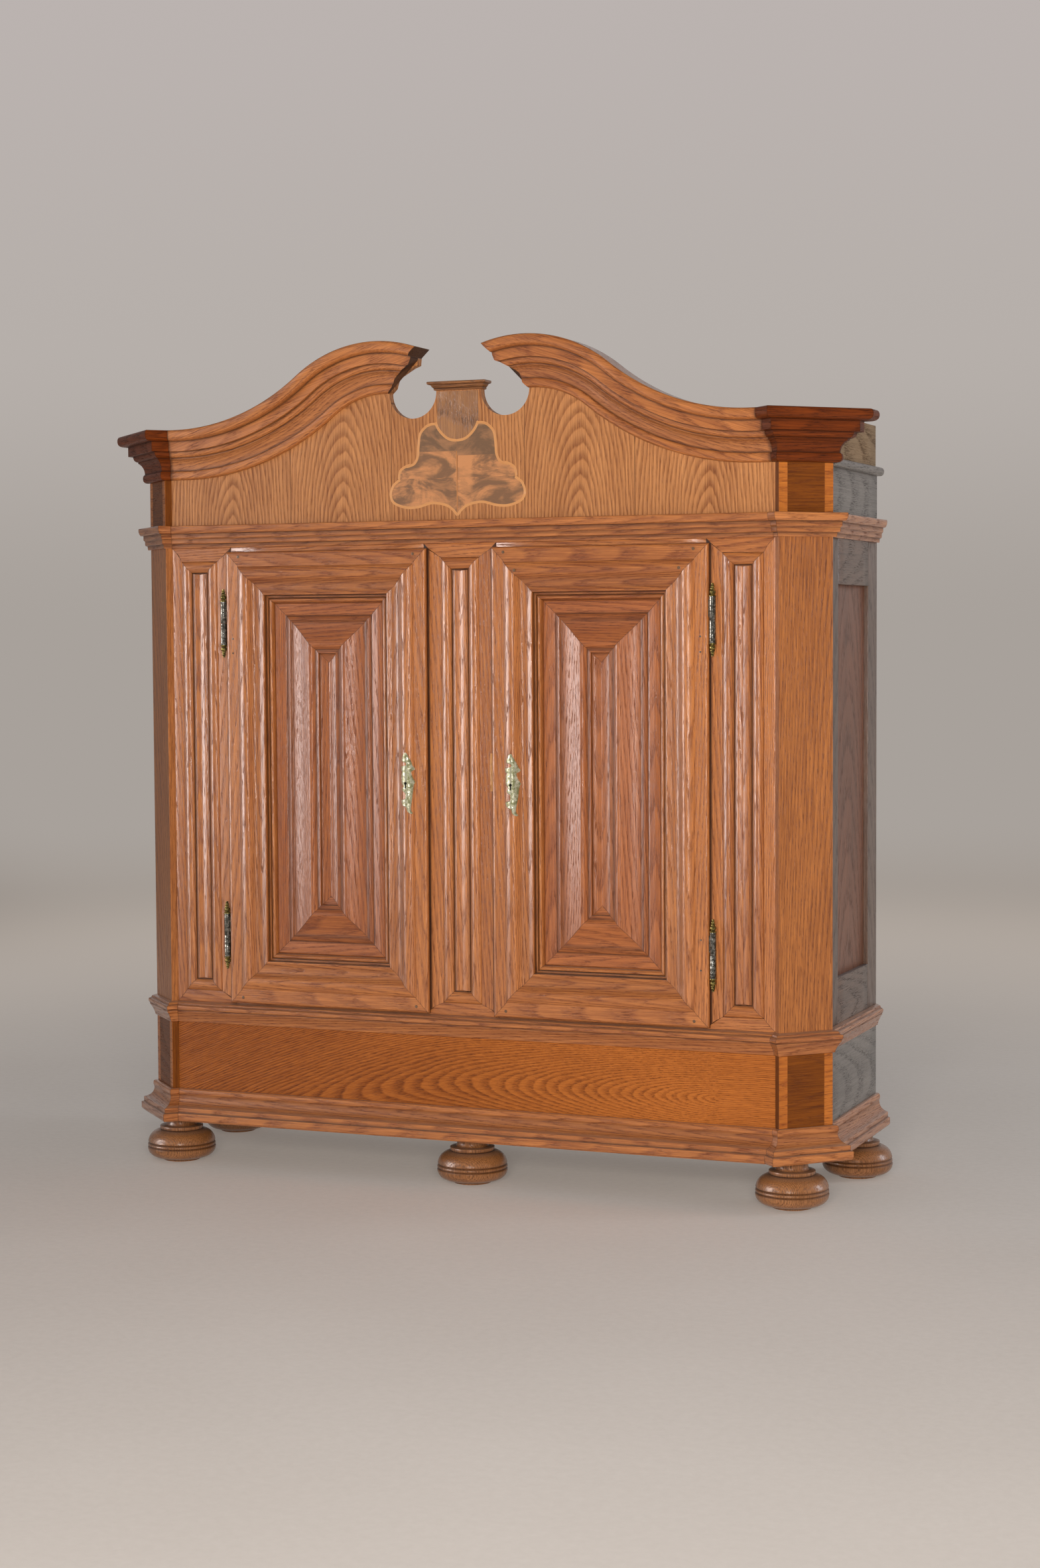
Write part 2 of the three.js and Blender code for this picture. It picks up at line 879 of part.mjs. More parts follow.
function escutcheonPlate() {
  const half = escutcheonShares.map(([across, up]) => new THREE.Vector2(
    (across * escutcheon.width) / 2,
    (up * escutcheon.height) / 2,
  ));
  const top = new THREE.Vector2(0, escutcheon.height / 2);
  const bottom = new THREE.Vector2(0, -escutcheon.height / 2);
  const rightSide = new THREE.SplineCurve([top, ...half, bottom]).getPoints(3 * half.length);
  const leftSide = rightSide.slice(1, -1).map((point) => new THREE.Vector2(-point.x, point.y)).reverse();
  const outline = [...rightSide, ...leftSide].map(
    (point) => new THREE.Vector2(keyholeX + point.x, lockLevel + point.y),
  );
  const back = -bolection.height - seat;
  const plate = plateXZ(outline, back - escutcheon.thickness, back);
  return cutFrom(plate, keyholeCut(back - sawCut, back + sawCut));
}

// Sides

const sideOuter = edges(cornerCut, caseDepth, sillLevel, friezeLevel);
const sideOpening = edges(
  cornerCut + sideFrame.frontStile,
  caseDepth - sideFrame.rearStile,
  bodyLevel + sideFrame.bottomRail,
  architraveLevel - sideFrame.topRail,
);
const shelfLevels = [shelf.lowerRise, shelf.upperRise].map((rise) => bodyLevel + rise);

// Side frame with a groove for its panel and a housing for the end of each shelf
function sideFrameRing() {
  const groove = inset(sideOpening, -sideFrame.panelLap - seat);
  const frontLip = -sideFrame.panelRecess + seat;
  const backLip = -sideFrame.panelRecess - sideFrame.panelThickness - seat;
  const ring = loft([
    sideRing(sideOuter, 0),
    sideRing(sideOpening, 0),
    sideRing(sideOpening, frontLip),
    sideRing(groove, frontLip),
    sideRing(groove, backLip),
    sideRing(sideOpening, backLip),
    sideRing(sideOpening, -wall),
    sideRing(sideOuter, -wall),
  ]);
  const housings = shelfLevels.map((level) => block(
    innerSide - sawCut,
    innerSide + shelf.housing + seat,
    cornerCut - sawCut,
    backInner + seat,
    level - seat,
    level + boardThickness + seat,
  ));
  return cutFrom(ring, ...housings);
}

function sidePanel() {
  const whole = inset(sideOpening, -sideFrame.panelLap);
  return steppedPlate([
    sideRing(whole, -sideFrame.panelRecess),
    sideRing(whole, -sideFrame.panelRecess - sideFrame.panelThickness),
  ]);
}

// Frieze side with the astragal that is left on it and the raw board above
function friezeSide() {
  const astragalLow = corniceLevel - sideAstragal.drop;
  const astragal = trace(sideAstragalShares, sideAstragal.projection, sideAstragal.height, 3)
    .map((point) => new THREE.Vector2(sidePlane + point.x, astragalLow + point.y));
  const rawFace = sidePlane - groundBoard.setback;
  const rawTop = astragalLow + sideAstragal.height + groundBoard.height;
  const outline = [
    new THREE.Vector2(innerSide, friezeLevel),
    new THREE.Vector2(sidePlane, friezeLevel),
    ...astragal,
    new THREE.Vector2(rawFace, astragalLow + sideAstragal.height),
    new THREE.Vector2(rawFace, rawTop),
    new THREE.Vector2(innerSide, rawTop),
  ];
  return plateXZ(outline, cornerCut, caseDepth);
}

// Pediment

const flatEndX = frontHalfWidth - neck.flatRun;
const bendSum = ((flatEndX - neck.peakX) ** 2 + neck.rise ** 2) / (2 * neck.rise);
const hollowRadius = bendSum * neck.hollowShare;
const roundRadius = bendSum - hollowRadius;
const bendAngle = Math.asin((flatEndX - neck.peakX) / bendSum);
const roundCentreZ = crownLevel + neck.rise - roundRadius;

// Point under the crown line of the lower, hollow bend
function hollowPoint(angle, depth) {
  const reach = hollowRadius + depth;
  return new THREE.Vector2(
    flatEndX - reach * Math.sin(angle),
    crownLevel + hollowRadius - reach * Math.cos(angle),
  );
}

// Point under the crown line of the upper, round bend
function roundPoint(angle, depth) {
  const reach = roundRadius - depth;
  return new THREE.Vector2(neck.peakX + reach * Math.sin(angle), roundCentreZ + reach * Math.cos(angle));
}

// Stations along the neck, each a function from depth under the crown line to a point
function neckStations() {
  const endAngle = Math.asin((cutout.plinthHalf - neck.peakX) / roundRadius);
  const steps = Array.from({ length: neck.stepsPerBend + 1 }, (_, i) => i / neck.stepsPerBend);
  const hollow = steps.map((share) => (depth) => hollowPoint(bendAngle * share, depth));
  const round = steps.slice(1).map((share) => (depth) => {
    const angle = bendAngle + (endAngle - bendAngle) * share;
    return roundPoint(angle, depth);
  });
  return [...hollow, ...round];
}

// Cornice outline whose crown reaches back over the board behind it
function corniceOutline(curveSteps) {
  const crownFoot = corniceHeight - neck.crownDepth;
  return [
    ...trace(corniceShares, corniceProjection, corniceHeight, curveSteps),
    new THREE.Vector2(-neck.boardThickness, corniceHeight),
    new THREE.Vector2(-neck.boardThickness, crownFoot),
    new THREE.Vector2(seat, crownFoot),
    new THREE.Vector2(seat, 0),
  ];
}

// Gap between the two necks: the sawn neck ends, the two round cut-outs and the plinth's top
function pedimentGap(yFront, yBack) {
  const centreZ = crownLevel + cutout.rise;
  const outerX = cutout.centreX + cutout.radius;
  const tip = roundPoint(Math.asin((cutout.tipX - neck.peakX) / roundRadius), 0);
  const arc = Array.from({ length: cutout.arcSteps + 1 }, (_, i) => {
    const angle = Math.PI + (Math.PI * i) / cutout.arcSteps;
    return new THREE.Vector2(
      cutout.centreX + cutout.radius * Math.cos(angle),
      centreZ + cutout.radius * Math.sin(angle),
    );
  });
  const sawn = neckEndShares.map(([run, climb]) => new THREE.Vector2(
    outerX - run * (outerX - tip.x),
    centreZ + climb * (tip.y - centreZ),
  ));
  const half = [
    new THREE.Vector2(cutout.plinthHalf, crownLevel + cutout.plinthRise),
    ...arc,
    ...sawn,
    new THREE.Vector2(tip.x, tip.y + sawCut + neck.crownDepth),
  ];
  const other = half.map((point) => new THREE.Vector2(-point.x, point.y)).reverse();
  return plateXZ([...half, ...other], yFront, yBack);
}

function swanNeck() {
  const outline = corniceOutline(3);
  const start = mouldingRing(outline, corniceLevel, frontCorner).map(([x, y, z]) => [x - seat, y, z]);
  const rings = neckStations().map((station) => outline.map((point) => {
    const place = station(corniceHeight - point.y);
    return [place.x, -point.x, place.y];
  }));
  const reach = corniceProjection + sawCut;
  return cutFrom(loft([start, ...rings], outline), pedimentGap(-reach, reach));
}

function pedimentBoard() {
  const depth = neck.crownDepth + seat;
  const climb = neckStations().map((station) => station(depth));
  const topEdge = [new THREE.Vector2(frontHalfWidth, crownLevel - depth), ...climb];
  const half = [new THREE.Vector2(frontHalfWidth, friezeLevel), ...topEdge];
  const other = half.map((point) => new THREE.Vector2(-point.x, point.y)).reverse();
  const board = plateXZ([...half, ...other], 0, neck.boardThickness);
  return cutFrom(board, pedimentGap(-sawCut, neck.boardThickness + sawCut));
}

// Small moulded cap on the plinth, mitred on three sides
function pedimentCap() {
  const low = crownLevel + cutout.plinthRise;
  const rings = trace(capShares, cap.projection, cap.height, 3).map((point) => {
    const half = cutout.plinthHalf + point.x;
    return rectangle(-half, half, -point.x, neck.boardThickness)
      .map((place) => [place.x, place.y, low + point.y]);
  });
  return loft(rings, rectangle(-1, 1, -1, 1));
}

// Cornice over the pilaster, with the stump that is left of the side cornice
function cornerCornice() {
  const outline = corniceOutline(3);
  const rings = [frontCorner, faceCorner, rearFaceCorner]
    .map((station) => mouldingRing(outline, corniceLevel, station));
  const stub = rings[2].map(([x, y, z], i) => {
    const share = Math.max(outline[i].x, seat) / corniceProjection;
    return [x, y + cornerStub * share, z];
  });
  return loft([...rings, stub], outline);
}

// Assembly

footPlaces().forEach(([name, x, y]) => add(name, ballFoot(x, y), darkOak));
add('base_bottom', baseBottom(), innerOak);
add(
  'base_moulding_lower',
  wrapMoulding(baseMouldingShares, baseMouldingProjection, baseMouldingHeight, baseLevel),
  darkOak,
);
const baseLow = baseLevel + bottomThickness;
add('base_board_front', block(-frontHalfWidth, frontHalfWidth, 0, wall, baseLow, sillLevel), oak);
addPair('base_board', block(innerSide, sidePlane, cornerCut, caseDepth, baseLow, sillLevel), oak);
addPair('base_corner', cornerPlank(baseLow, sillLevel), veneer);
add(
  'base_moulding_upper',
  wrapMoulding(sillMouldingShares, sillMouldingProjection, sillMouldingHeight, sillLevel),
  oak,
);

add('sill_rail', notchedRail(sillLevel, bodyLevel, bodyLevel - seat, openingLow), oak);
add('head_rail', notchedRail(architraveLevel, friezeLevel, openingHigh, architraveLevel + seat), oak);
addPair('corner_post', cornerPlank(sillLevel, friezeLevel), oak);
addPair('side_frame', sideFrameRing(), oak);
addPair('side_panel', sidePanel(), oak);
const hingeLevels = [
  ['_upper', architraveLevel - hinge.upperDrop],
  ['_lower', bodyLevel + hinge.lowerRise],
];
const fixedMortises = hingeLevels.map(([, level]) => fixedLeaf(level, seat));
const outerLisene = liseneBoard(outerEdge, frontHalfWidth, liseneCentre);
addPair('lisene', cutFrom(outerLisene, ...fixedMortises), oak);
add('lisene_middle', liseneBoard(-lisene.middleHalf, lisene.middleHalf, 0), oak);

add('case_floor', innerBoard(wall, innerSide, bodyLevel - boardThickness, bodyLevel), innerOak);
add('case_top', innerBoard(wall, innerSide, friezeLevel - boardThickness, friezeLevel), innerOak);
['shelf_lower', 'shelf_upper'].forEach((name, i) => {
  const level = shelfLevels[i];
  add(name, innerBoard(shelf.setback, innerSide + shelf.housing, level, level + boardThickness), innerOak);
});
add('back_panel', block(-innerSide, innerSide, backInner, caseDepth, baseLow, corniceLevel), innerOak);

add(
  'architrave',
  wrapMoulding(architraveShares, architraveProjection, architraveHeight, architraveLevel),
  oak,
);
addPair('frieze_corner', cornerPlank(friezeLevel, crownLevel - neck.crownDepth - seat), veneer);
addPair('frieze_side', friezeSide(), oak);
add('tympanum', pedimentBoard(), veneer);
addPair('neck_cornice', swanNeck(), oak);
addPair('corner_cornice', cornerCornice(), darkOak);
add('pediment_cap', pedimentCap(), darkOak);

const doorMortises = hingeLevels.map(([, level]) => doorLeaf(level, seat));
const doorKeyhole = keyholeCut(-bolection.height - sawCut, lockFront);
addPair('door_frame', cutFrom(doorFrame(), ...doorMortises, doorKeyhole), oak);
addPair('door_bolection', cutFrom(doorBolection(), doorKeyhole), oak);
addPair('door_panel', doorPanel(), oak);
hingeLevels.forEach(([suffix, level]) => {
  addPair('hinge_pin', hingePin(level), iron, suffix);
  addPair('hinge_barrel', hingeBarrel(level), iron, suffix);
});
addPair('lock_case', lockCase(), iron);
addPair('lock_bolt', boltBlock(0), iron);
addPair('escutcheon', escutcheonPlate(), brass);

// The origin is on the floor, in the middle of the cupboard's width and depth
const frontReach = corner + corniceProjection * Math.SQRT2;
cupboard.position.y = (frontReach - caseDepth) / 2;

export default cupboard;
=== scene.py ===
import math
import re
from functools import partial

import bpy
import numpy as np
from mathutils import Matrix, Vector
from mathutils.geometry import tessellate_polygon


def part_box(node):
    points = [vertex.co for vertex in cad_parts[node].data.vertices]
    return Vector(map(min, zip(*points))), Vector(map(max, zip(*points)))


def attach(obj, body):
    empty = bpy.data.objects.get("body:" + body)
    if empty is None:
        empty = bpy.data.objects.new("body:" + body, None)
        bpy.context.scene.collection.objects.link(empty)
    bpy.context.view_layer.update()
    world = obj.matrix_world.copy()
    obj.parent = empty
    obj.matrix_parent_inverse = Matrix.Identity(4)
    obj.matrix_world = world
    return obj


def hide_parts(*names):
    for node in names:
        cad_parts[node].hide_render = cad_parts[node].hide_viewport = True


# A baroque kas cupboard of waxed oak: ball feet, a plinth base, two doors between lisenes,
# cut corners and a broken swan-neck pediment. The tables are in millimetres, with y = 0 at the
# plane of the fixed front, as on the drawing; place() turns them into the frame's metres.

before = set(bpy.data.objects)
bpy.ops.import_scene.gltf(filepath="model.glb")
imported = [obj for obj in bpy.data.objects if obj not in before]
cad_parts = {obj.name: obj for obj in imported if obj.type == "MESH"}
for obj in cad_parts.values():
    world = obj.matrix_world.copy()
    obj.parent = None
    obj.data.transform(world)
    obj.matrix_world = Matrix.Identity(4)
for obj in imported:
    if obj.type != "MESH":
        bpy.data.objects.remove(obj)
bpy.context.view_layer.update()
random = np.random.default_rng(1740)

millimetre = 0.001
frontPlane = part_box("head_rail")[0].y
frontSide = np.array([0.0, -1.0, 0.0])
rightSide = np.array([1.0, 0.0, 0.0])
upSide = np.array([0.0, 0.0, 1.0])
cornerSide = np.array([0.7, -0.7, 0.0])
bothSides = (("right", 1), ("left", -1))

case = {
    "frontHalf": 880, "cornerCut": 112, "pilasterProud": 19.3, "depth": 601, "wall": 28,
    "back": 16, "board": 22, "bottom": 28, "seat": 0.3,
}
case["sidePlane"] = case["frontHalf"] + case["cornerCut"]
case["innerSide"] = case["sidePlane"] - case["wall"]
level = {
    "base": 127, "sill": 406, "body": 466, "architrave": 1744, "frieze": 1806, "cornice": 1934,
    "crown": 2069,
}
# Dirt in the seam at the end of a member: distances from the end, and how dark it is there
seam = {"gap": 0.12, "distances": (0.7, 2.2), "dirt": (0.75, 0.3, 0.0)}

# Shapes


# Millimetres on the drawing to metres in the frame
def place(points):
    return np.asarray(points, float) * millimetre + np.array([0.0, frontPlane, 0.0])


# Rows of two numbers are corners, rows of four a quadratic curve: its pull point and its end
def tracePoints(shares, across, up, curveSteps=7):
    points = [np.array(shares[0][-2:], float)]
    t = np.linspace(0, 1, curveSteps + 1)[1:, None]
    for *pull, endAcross, endUp in shares[1:]:
        end = np.array([endAcross, endUp], float)
        if pull:
            start = points[-1]
            points.extend((1 - t) ** 2 * start + 2 * t * (1 - t) * np.array(pull) + t**2 * end)
        else:
            points.append(end)
    return np.array(points) * np.array([across, up])


# How far a closed outline turns at each of its points, in radians
def turnAt(outline):
    into = outline - np.roll(outline, 1, axis=0)
    out = np.roll(outline, -1, axis=0) - outline
    return np.arctan2(into[:, 0] * out[:, 1] - into[:, 1] * out[:, 0], (into * out).sum(1))


# Each sharp corner becomes three points of a small rounding: cut back on both edges by the
# radius times the tangent of half its turn, with the middle halfway to where the cut lies
def eased(outline, radius=0.8, sharp=0.45, sharpest=2.4, mostOfEdge=0.4):
    turn = np.abs(turnAt(outline))
    cut = radius * np.tan(np.minimum(turn, sharpest) / 2)
    moved = []
    for neighbour in (np.roll(outline, 1, axis=0), np.roll(outline, -1, axis=0)):
        edge = np.linalg.norm(neighbour - outline, axis=1)
        share = np.minimum(cut, mostOfEdge * edge) / edge
        moved.append(outline + (neighbour - outline) * share[:, None])
    first, last = moved
    middle = 0.25 * first + 0.5 * outline + 0.25 * last
    isSharp = turn > sharp
    rounded = np.stack([first, np.where(isSharp[:, None], middle, outline), last], axis=1)
    return rounded[np.stack([isSharp, np.ones(len(outline), bool), isSharp], axis=1)]


# Long straight runs get extra points beside their ends, so that dirt in a corner stays narrow
def detailed(outline, steps=(0.0, 2.0, 5.0), longRun=12):
    ahead = np.roll(outline, -1, axis=0) - outline
    length = np.linalg.norm(ahead, axis=1)
    unit = (ahead / length[:, None])[:, None]
    steps = np.array(steps)[None, :, None]
    near = outline[:, None] + unit * steps
    far = outline[:, None] + unit * (length[:, None, None] - steps[:, :0:-1])
    wanted = np.ones((len(outline), 5), bool)
    wanted[:, 1:] = (length > longRun)[:, None]
    return np.concatenate([near, far], axis=1)[wanted]


# A closed outline as it is modelled: corners rounded first, then the points beside them
def fineOutline(outline, radius=0.8):
    return detailed(eased(np.asarray(outline, float), radius))


# Dirt gathers where the outline turns inwards: the inward turns, each fading over the reach
def cavityOf(outline, reach=1.8, strength=1.2):
    turn = turnAt(outline)
    inward = np.maximum(-turn * np.sign(turn.sum()), 0)
    step = np.linalg.norm(np.roll(outline, -1, axis=0) - outline, axis=1)
    along = np.concatenate([[0], np.cumsum(step)[:-1]])
    apart = np.abs(along[:, None] - along[None])
    apart = np.minimum(apart, step.sum() - apart)
    return 1 - np.exp(-strength * (np.exp(-apart / reach) * inward[None]).sum(1))


# The way the grain of one board runs: along, across and depth in metres, moved to a random
# place in the log. Straight boards come from the side of the log, figured ones from its middle.
def boardGrain(points, along, facing, figure="straight"):
    along = np.asarray(along, float) / np.linalg.norm(along)
    flat = points.reshape(-1, 3)
    flat = (flat - flat.mean(0)) * millimetre
    axes = (along, np.cross(facing, along), -np.asarray(facing, float))
    spread = {"straight": (0.07, 0.17), "figured": (-0.015, 0.015), "half": (0.03, 0.07)}[figure]
    shift = [random.uniform(0, 30), random.choice([-1, 1]) * random.uniform(*spread),
             random.uniform(0.0, 0.02)]
    return np.stack([flat @ axis for axis in axes], axis=1) + np.array(shift)


# Points of a shape that has its own grain, as rows measured from a centre, in metres
def fromCentre(rings, centre):
    return (rings.reshape(-1, 3) - np.array(centre, float)) * millimetre


# Point numbers of rings, and the four-cornered faces between each ring and the next
def ringFaces(rings):
    index = np.arange(rings.shape[0] * rings.shape[1]).reshape(rings.shape[:2])
    here, above = index[:-1], index[1:]
    corners = [here, np.roll(here, -1, axis=1), np.roll(above, -1, axis=1), above]
    return index, np.stack(corners, axis=-1).reshape(-1, 4)


# Closed skin over rings with the same number of points, with flat ends
def ringShell(rings, grain, dirt=0.0, tone=None, endMaterial=0):
    index, quads = ringFaces(rings)
    blocks = [(quads, 0), (index[:1, ::-1], endMaterial), (index[-1:], endMaterial)]
    return closedShell(rings.reshape(-1, 3), blocks, grain, dirt, tone)


# Points and blocks of faces with their grain, dirt and tone. The faces are turned about where
# the volume, summed over their triangles, comes out below zero.
def closedShell(points, blocks, grain, dirt=0.0, tone=None):
    volume = 0.0
    for block, _ in blocks:
        corners = points[block]
        for k in range(1, corners.shape[1] - 1):
            volume += (corners[:, 0] * np.cross(corners[:, k], corners[:, k + 1])).sum()
    way = -1 if volume < 0 else 1
    return {
        "points": points, "grain": grain,
        "faces": [face[::way] for block, _ in blocks for face in block.tolist()],
        "material": np.concatenate([np.full(len(block), number) for block, number in blocks]),
        "grime": np.broadcast_to(dirt, len(points)).astype(float),
        "tone": np.full(len(points), random.uniform(-1, 1) if tone is None else tone),
    }


# One object from closed shells, with their attributes
def addShells(name, shells, materials, sharpAngle=38):
    joined = {key: np.concatenate([shell[key] for shell in shells])
              for key in ("points", "material", "grime", "tone", "grain")}
    faces, offset = [], 0
    for shell in shells:
        faces.extend([[corner + offset for corner in face] for face in shell["faces"]])
        offset += len(shell["points"])
    mesh = bpy.data.meshes.new(name)
    mesh.from_pydata(place(joined["points"]).tolist(), [], faces)
    for key, kind, field in (("grime", "FLOAT", "value"), ("tone", "FLOAT", "value"),
                             ("grain", "FLOAT_VECTOR", "vector")):
        layer = mesh.attributes.new(key, kind, "POINT")
        layer.data.foreach_set(field, joined[key].astype(np.float32).ravel())
    for material in materials if isinstance(materials, list) else [materials]:
        mesh.materials.append(material)
    mesh.polygons.foreach_set("material_index", joined["material"].astype(np.int32))
    mesh.polygons.foreach_set("use_smooth", np.ones(len(mesh.polygons), bool))
    mesh.set_sharp_from_angle(angle=math.radians(sharpAngle))
    mesh.update()
    made = bpy.data.objects.new(name, mesh)
    bpy.context.scene.collection.objects.link(made)
    return made


# A piece of the cupboard with its body and slot. It stands for the CAD node whose name is the
# piece's own with underscores, where there is one.
def addPiece(name, shells, materials, slot="waxed_oak", body="case", node=None):
    piece = addShells(name, shells, materials)
    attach(piece, body)
    node = node or re.sub("[A-Z]", lambda m: "_" + m.group().lower(), name).replace(".", "_")
    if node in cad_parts:
        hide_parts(node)
    return piece


# A straight member between two end rings. Stations crowd towards the ends, where a seam
# darkens the wood; a share and a distance give each station's place.
def member(start, end, facing, cavity=0.0, seams=(1, 1), figure="straight", tone=None,
           along=None, grain=None, gap=seam["gap"], endMaterial=0):
    length = np.linalg.norm(end - start, axis=1)[:, None]
    unit = (end - start) / np.maximum(length, 1e-6)
    near = np.array([gap, *seam["distances"]])
    shares = np.array([0, 0, 0, 0.12, 0.3, 0.5, 0.7, 0.88, 1, 1, 1])
    offsets = np.concatenate([near, np.zeros(5), -near[::-1]])[:, None, None]
    dirt = np.array(seam["dirt"])
    dark = np.concatenate([dirt * seams[0], np.zeros(5), dirt[::-1] * seams[1]])
    limited = np.clip(offsets, -0.3 * length[None], 0.3 * length[None])
    rings = start[None] + (end - start)[None] * shares[:, None, None] + unit[None] * limited
    grime = np.maximum(np.broadcast_to(cavity, len(start))[None], dark[:, None]).reshape(-1)
    direction = (end - start).mean(0) if along is None else along
    where = boardGrain(rings, direction, facing, figure) if grain is None else grain(rings)
    return ringShell(rings, where, grime, tone, endMaterial)


# Rectangles are left, right, low and high; inset ones are smaller by the given distances
def box(left, right, low, high):
    return np.array([left, right, low, high], float)


# Left and low plus the distance, right and high less the distance
def inset(outer, across, up=None):
    across = np.atleast_1d(np.asarray(across, float))
    up = across if up is None else np.atleast_1d(np.asarray(up, float))
    return outer + np.stack([across, -across, up, -up], axis=1)


# Four mitred members round nested rectangles; each ring is a rectangle at a height
def mitredFrame(boxes, proud, figures=("straight",) * 4, grains=(None,) * 4, tones=(None,) * 4,
                dirt=0.0):
    left, right, low, high = boxes.T
    width = (right - left)[0] / 2 - (right - left) / 2
    cavity = np.maximum(cavityOf(np.stack([width, proud], axis=1)), dirt)
    cavity = np.broadcast_to(cavity, (4, len(width)))
    corners = [np.stack([u, -proud, v], axis=-1)
               for u, v in ((left, low), (left, high), (right, high), (right, low))]
    return [
        member(corners[i], corners[(i + 1) % 4], frontSide, cavity[i], figure=figures[i],
               grain=grains[i], tone=tones[i])
        for i in range(4)
    ]


# Outline made fine for a frame: the boxes and heights are eased and detailed together
def fineFrame(boxes, proud):
    reach = boxes[:, 0] - boxes[0, 0]
    fine = fineOutline(np.stack([reach, proud], axis=1))
    order = np.argsort(reach, kind="stable")
    known, first = np.unique(reach[order], return_index=True)
    edges = [np.interp(fine[:, 0], known, boxes[order][first][:, k]) for k in range(4)]
    return np.stack(edges, axis=1), fine[:, 1]


# A board with eased edges and ends between two opposite corners, its grain along x, y or z
def plank(corner, opposite, axis, facing, figure="straight", tone=None, ease=1.2):
    low, high = np.minimum(corner, opposite), np.maximum(corner, opposite)
    a, b = [k for k in range(3) if k != axis]
    fine = fineOutline([[low[a], low[b]], [high[a], low[b]], [high[a], high[b]],
                        [low[a], high[b]]], ease)
    centre = fine.mean(0)
    half = np.maximum(np.abs(fine - centre).max(0), 1e-6)
    smaller = centre + (fine - centre) * (1 - 0.7 * ease / half)
    stations = [low[axis], low[axis] + ease, *np.linspace(low[axis], high[axis], 6)[1:-1],
                high[axis] - ease, high[axis]]
    rings = np.zeros((len(stations), len(fine), 3))
    rings[:, :, [a, b]] = fine
    rings[[0, -1], :, a], rings[[0, -1], :, b] = smaller.T
    rings[:, :, axis] = np.array(stations)[:, None]
    return ringShell(rings, boardGrain(rings, np.eye(3)[axis], facing, figure), 0.0, tone)


# A ring of points with any plan at one height
def planRing(outline, z):
    return np.column_stack([outline, np.full(len(outline), z)])


# An upright board with any plan
def standing(outline, low, high, facing, tone=None):
    fine = fineOutline(outline)
    return member(planRing(fine, low), planRing(fine, high), facing, cavityOf(fine), (0, 0),
                  tone=tone, gap=0)


# A flat board with any outline in x and z, from yFront to yBack, its grain upright
def plate(outline, yFront, yBack, figure="straight", tone=None, grain=None):
    rings = np.stack([
        np.column_stack([outline[:, 0], np.full(len(outline), y), outline[:, 1]])
        for y in (yFront, (yFront + yBack) / 2, yBack)
    ])
    where = boardGrain(rings, upSide, frontSide, figure) if grain is None else grain(rings)
    return ringShell(rings, where, 0.0, tone)


# Turned work on an upright axis: each outline point at x + radius cos, y + radius sin
def turned(outline, x, y, sideCount, dirt=0.0):
    angle = np.linspace(0, 2 * np.pi, sideCount, endpoint=False)
    radius, height = outline[:, :1], outline[:, 1:]
    points = np.stack([x + radius * np.cos(angle), y + radius * np.sin(angle),
                       np.broadcast_to(height, (len(outline), sideCount))], axis=-1)
    grain = boardGrain(points, upSide, frontSide, "half")
    return ringShell(points, grain, np.repeat(np.broadcast_to(dirt, len(outline)), sideCount))


# A turned outline closed by points almost on the axis
def toAxis(face, low, high, nearAxis=0.01):
    return np.concatenate([[[nearAxis, low]], face, [[nearAxis, high]]])


# Corner i of a plan, moved out by each projection along the mitre between its two runs
def mitrePlaces(corners, projection):
    runs = np.diff(corners, axis=0)
    runs /= np.linalg.norm(runs, axis=1)[:, None]
    normals = np.column_stack([runs[:, 1], -runs[:, 0]])
    before = np.concatenate([normals[:1], normals])
    after = np.concatenate([normals, normals[-1:]])
    spread = (before + after) / (1 + (before * after).sum(1))[:, None]
    return corners[:, None] + spread[:, None] * np.asarray(projection)[None, :, None], normals


# A moulding carried round the case, one closed member per run, mitred at the corners
def wrapped(shares, projection, height, low):
    back = [[case["seat"], height], [case["seat"], 0]]
    closed = fineOutline(np.concatenate([tracePoints(shares, projection, height), back]))
    places, normals = mitrePlaces(plan, closed[:, 0])
    rings = [np.hstack([spot, (low + closed[:, 1])[:, None]]) for spot in places]
    cavity = cavityOf(closed)
    return [
        member(rings[k], rings[k + 1], np.array([*normals[k], 0.0]), cavity, figure=figure)
        for k, figure in enumerate(planFigures)
    ]


# The same shell on the other side of the cupboard
def mirrored(shell):
    return shell | {
        "points": shell["points"] * np.array([-1.0, 1.0, 1.0]),
        "faces": [face[::-1] for face in shell["faces"]],
        "grain": shell["grain"] + np.array([random.uniform(0, 30), 0, 0]),
        "tone": np.full(len(shell["points"]), random.uniform(-1, 1)),
    }


# A board in the thickness of a side wall
def wallBoard(sign, y, z, axis, figure, outer=case["sidePlane"], ease=1.2):
    return plank([sign * case["innerSide"], y[0], z[0]], [sign * outer, y[1], z[1]], axis,
                 rightSide * sign, figure, ease=ease)


# Materials

# The setting that the word after a node's kind stands for
choices = {"Math": "operation", "VectorMath": "operation", "Mix": "data_type",
           "MapRange": "interpolation_type"}


# An sRGB colour as the linear numbers that a shader takes
def srgb(code):
    parts = np.array([int(code[k:k + 2], 16) for k in (0, 2, 4)]) / 255
    linear = np.where(parts <= 0.04045, parts / 12.92, ((parts + 0.055) / 1.055) ** 2.4)
    return (*linear.tolist(), 1.0)


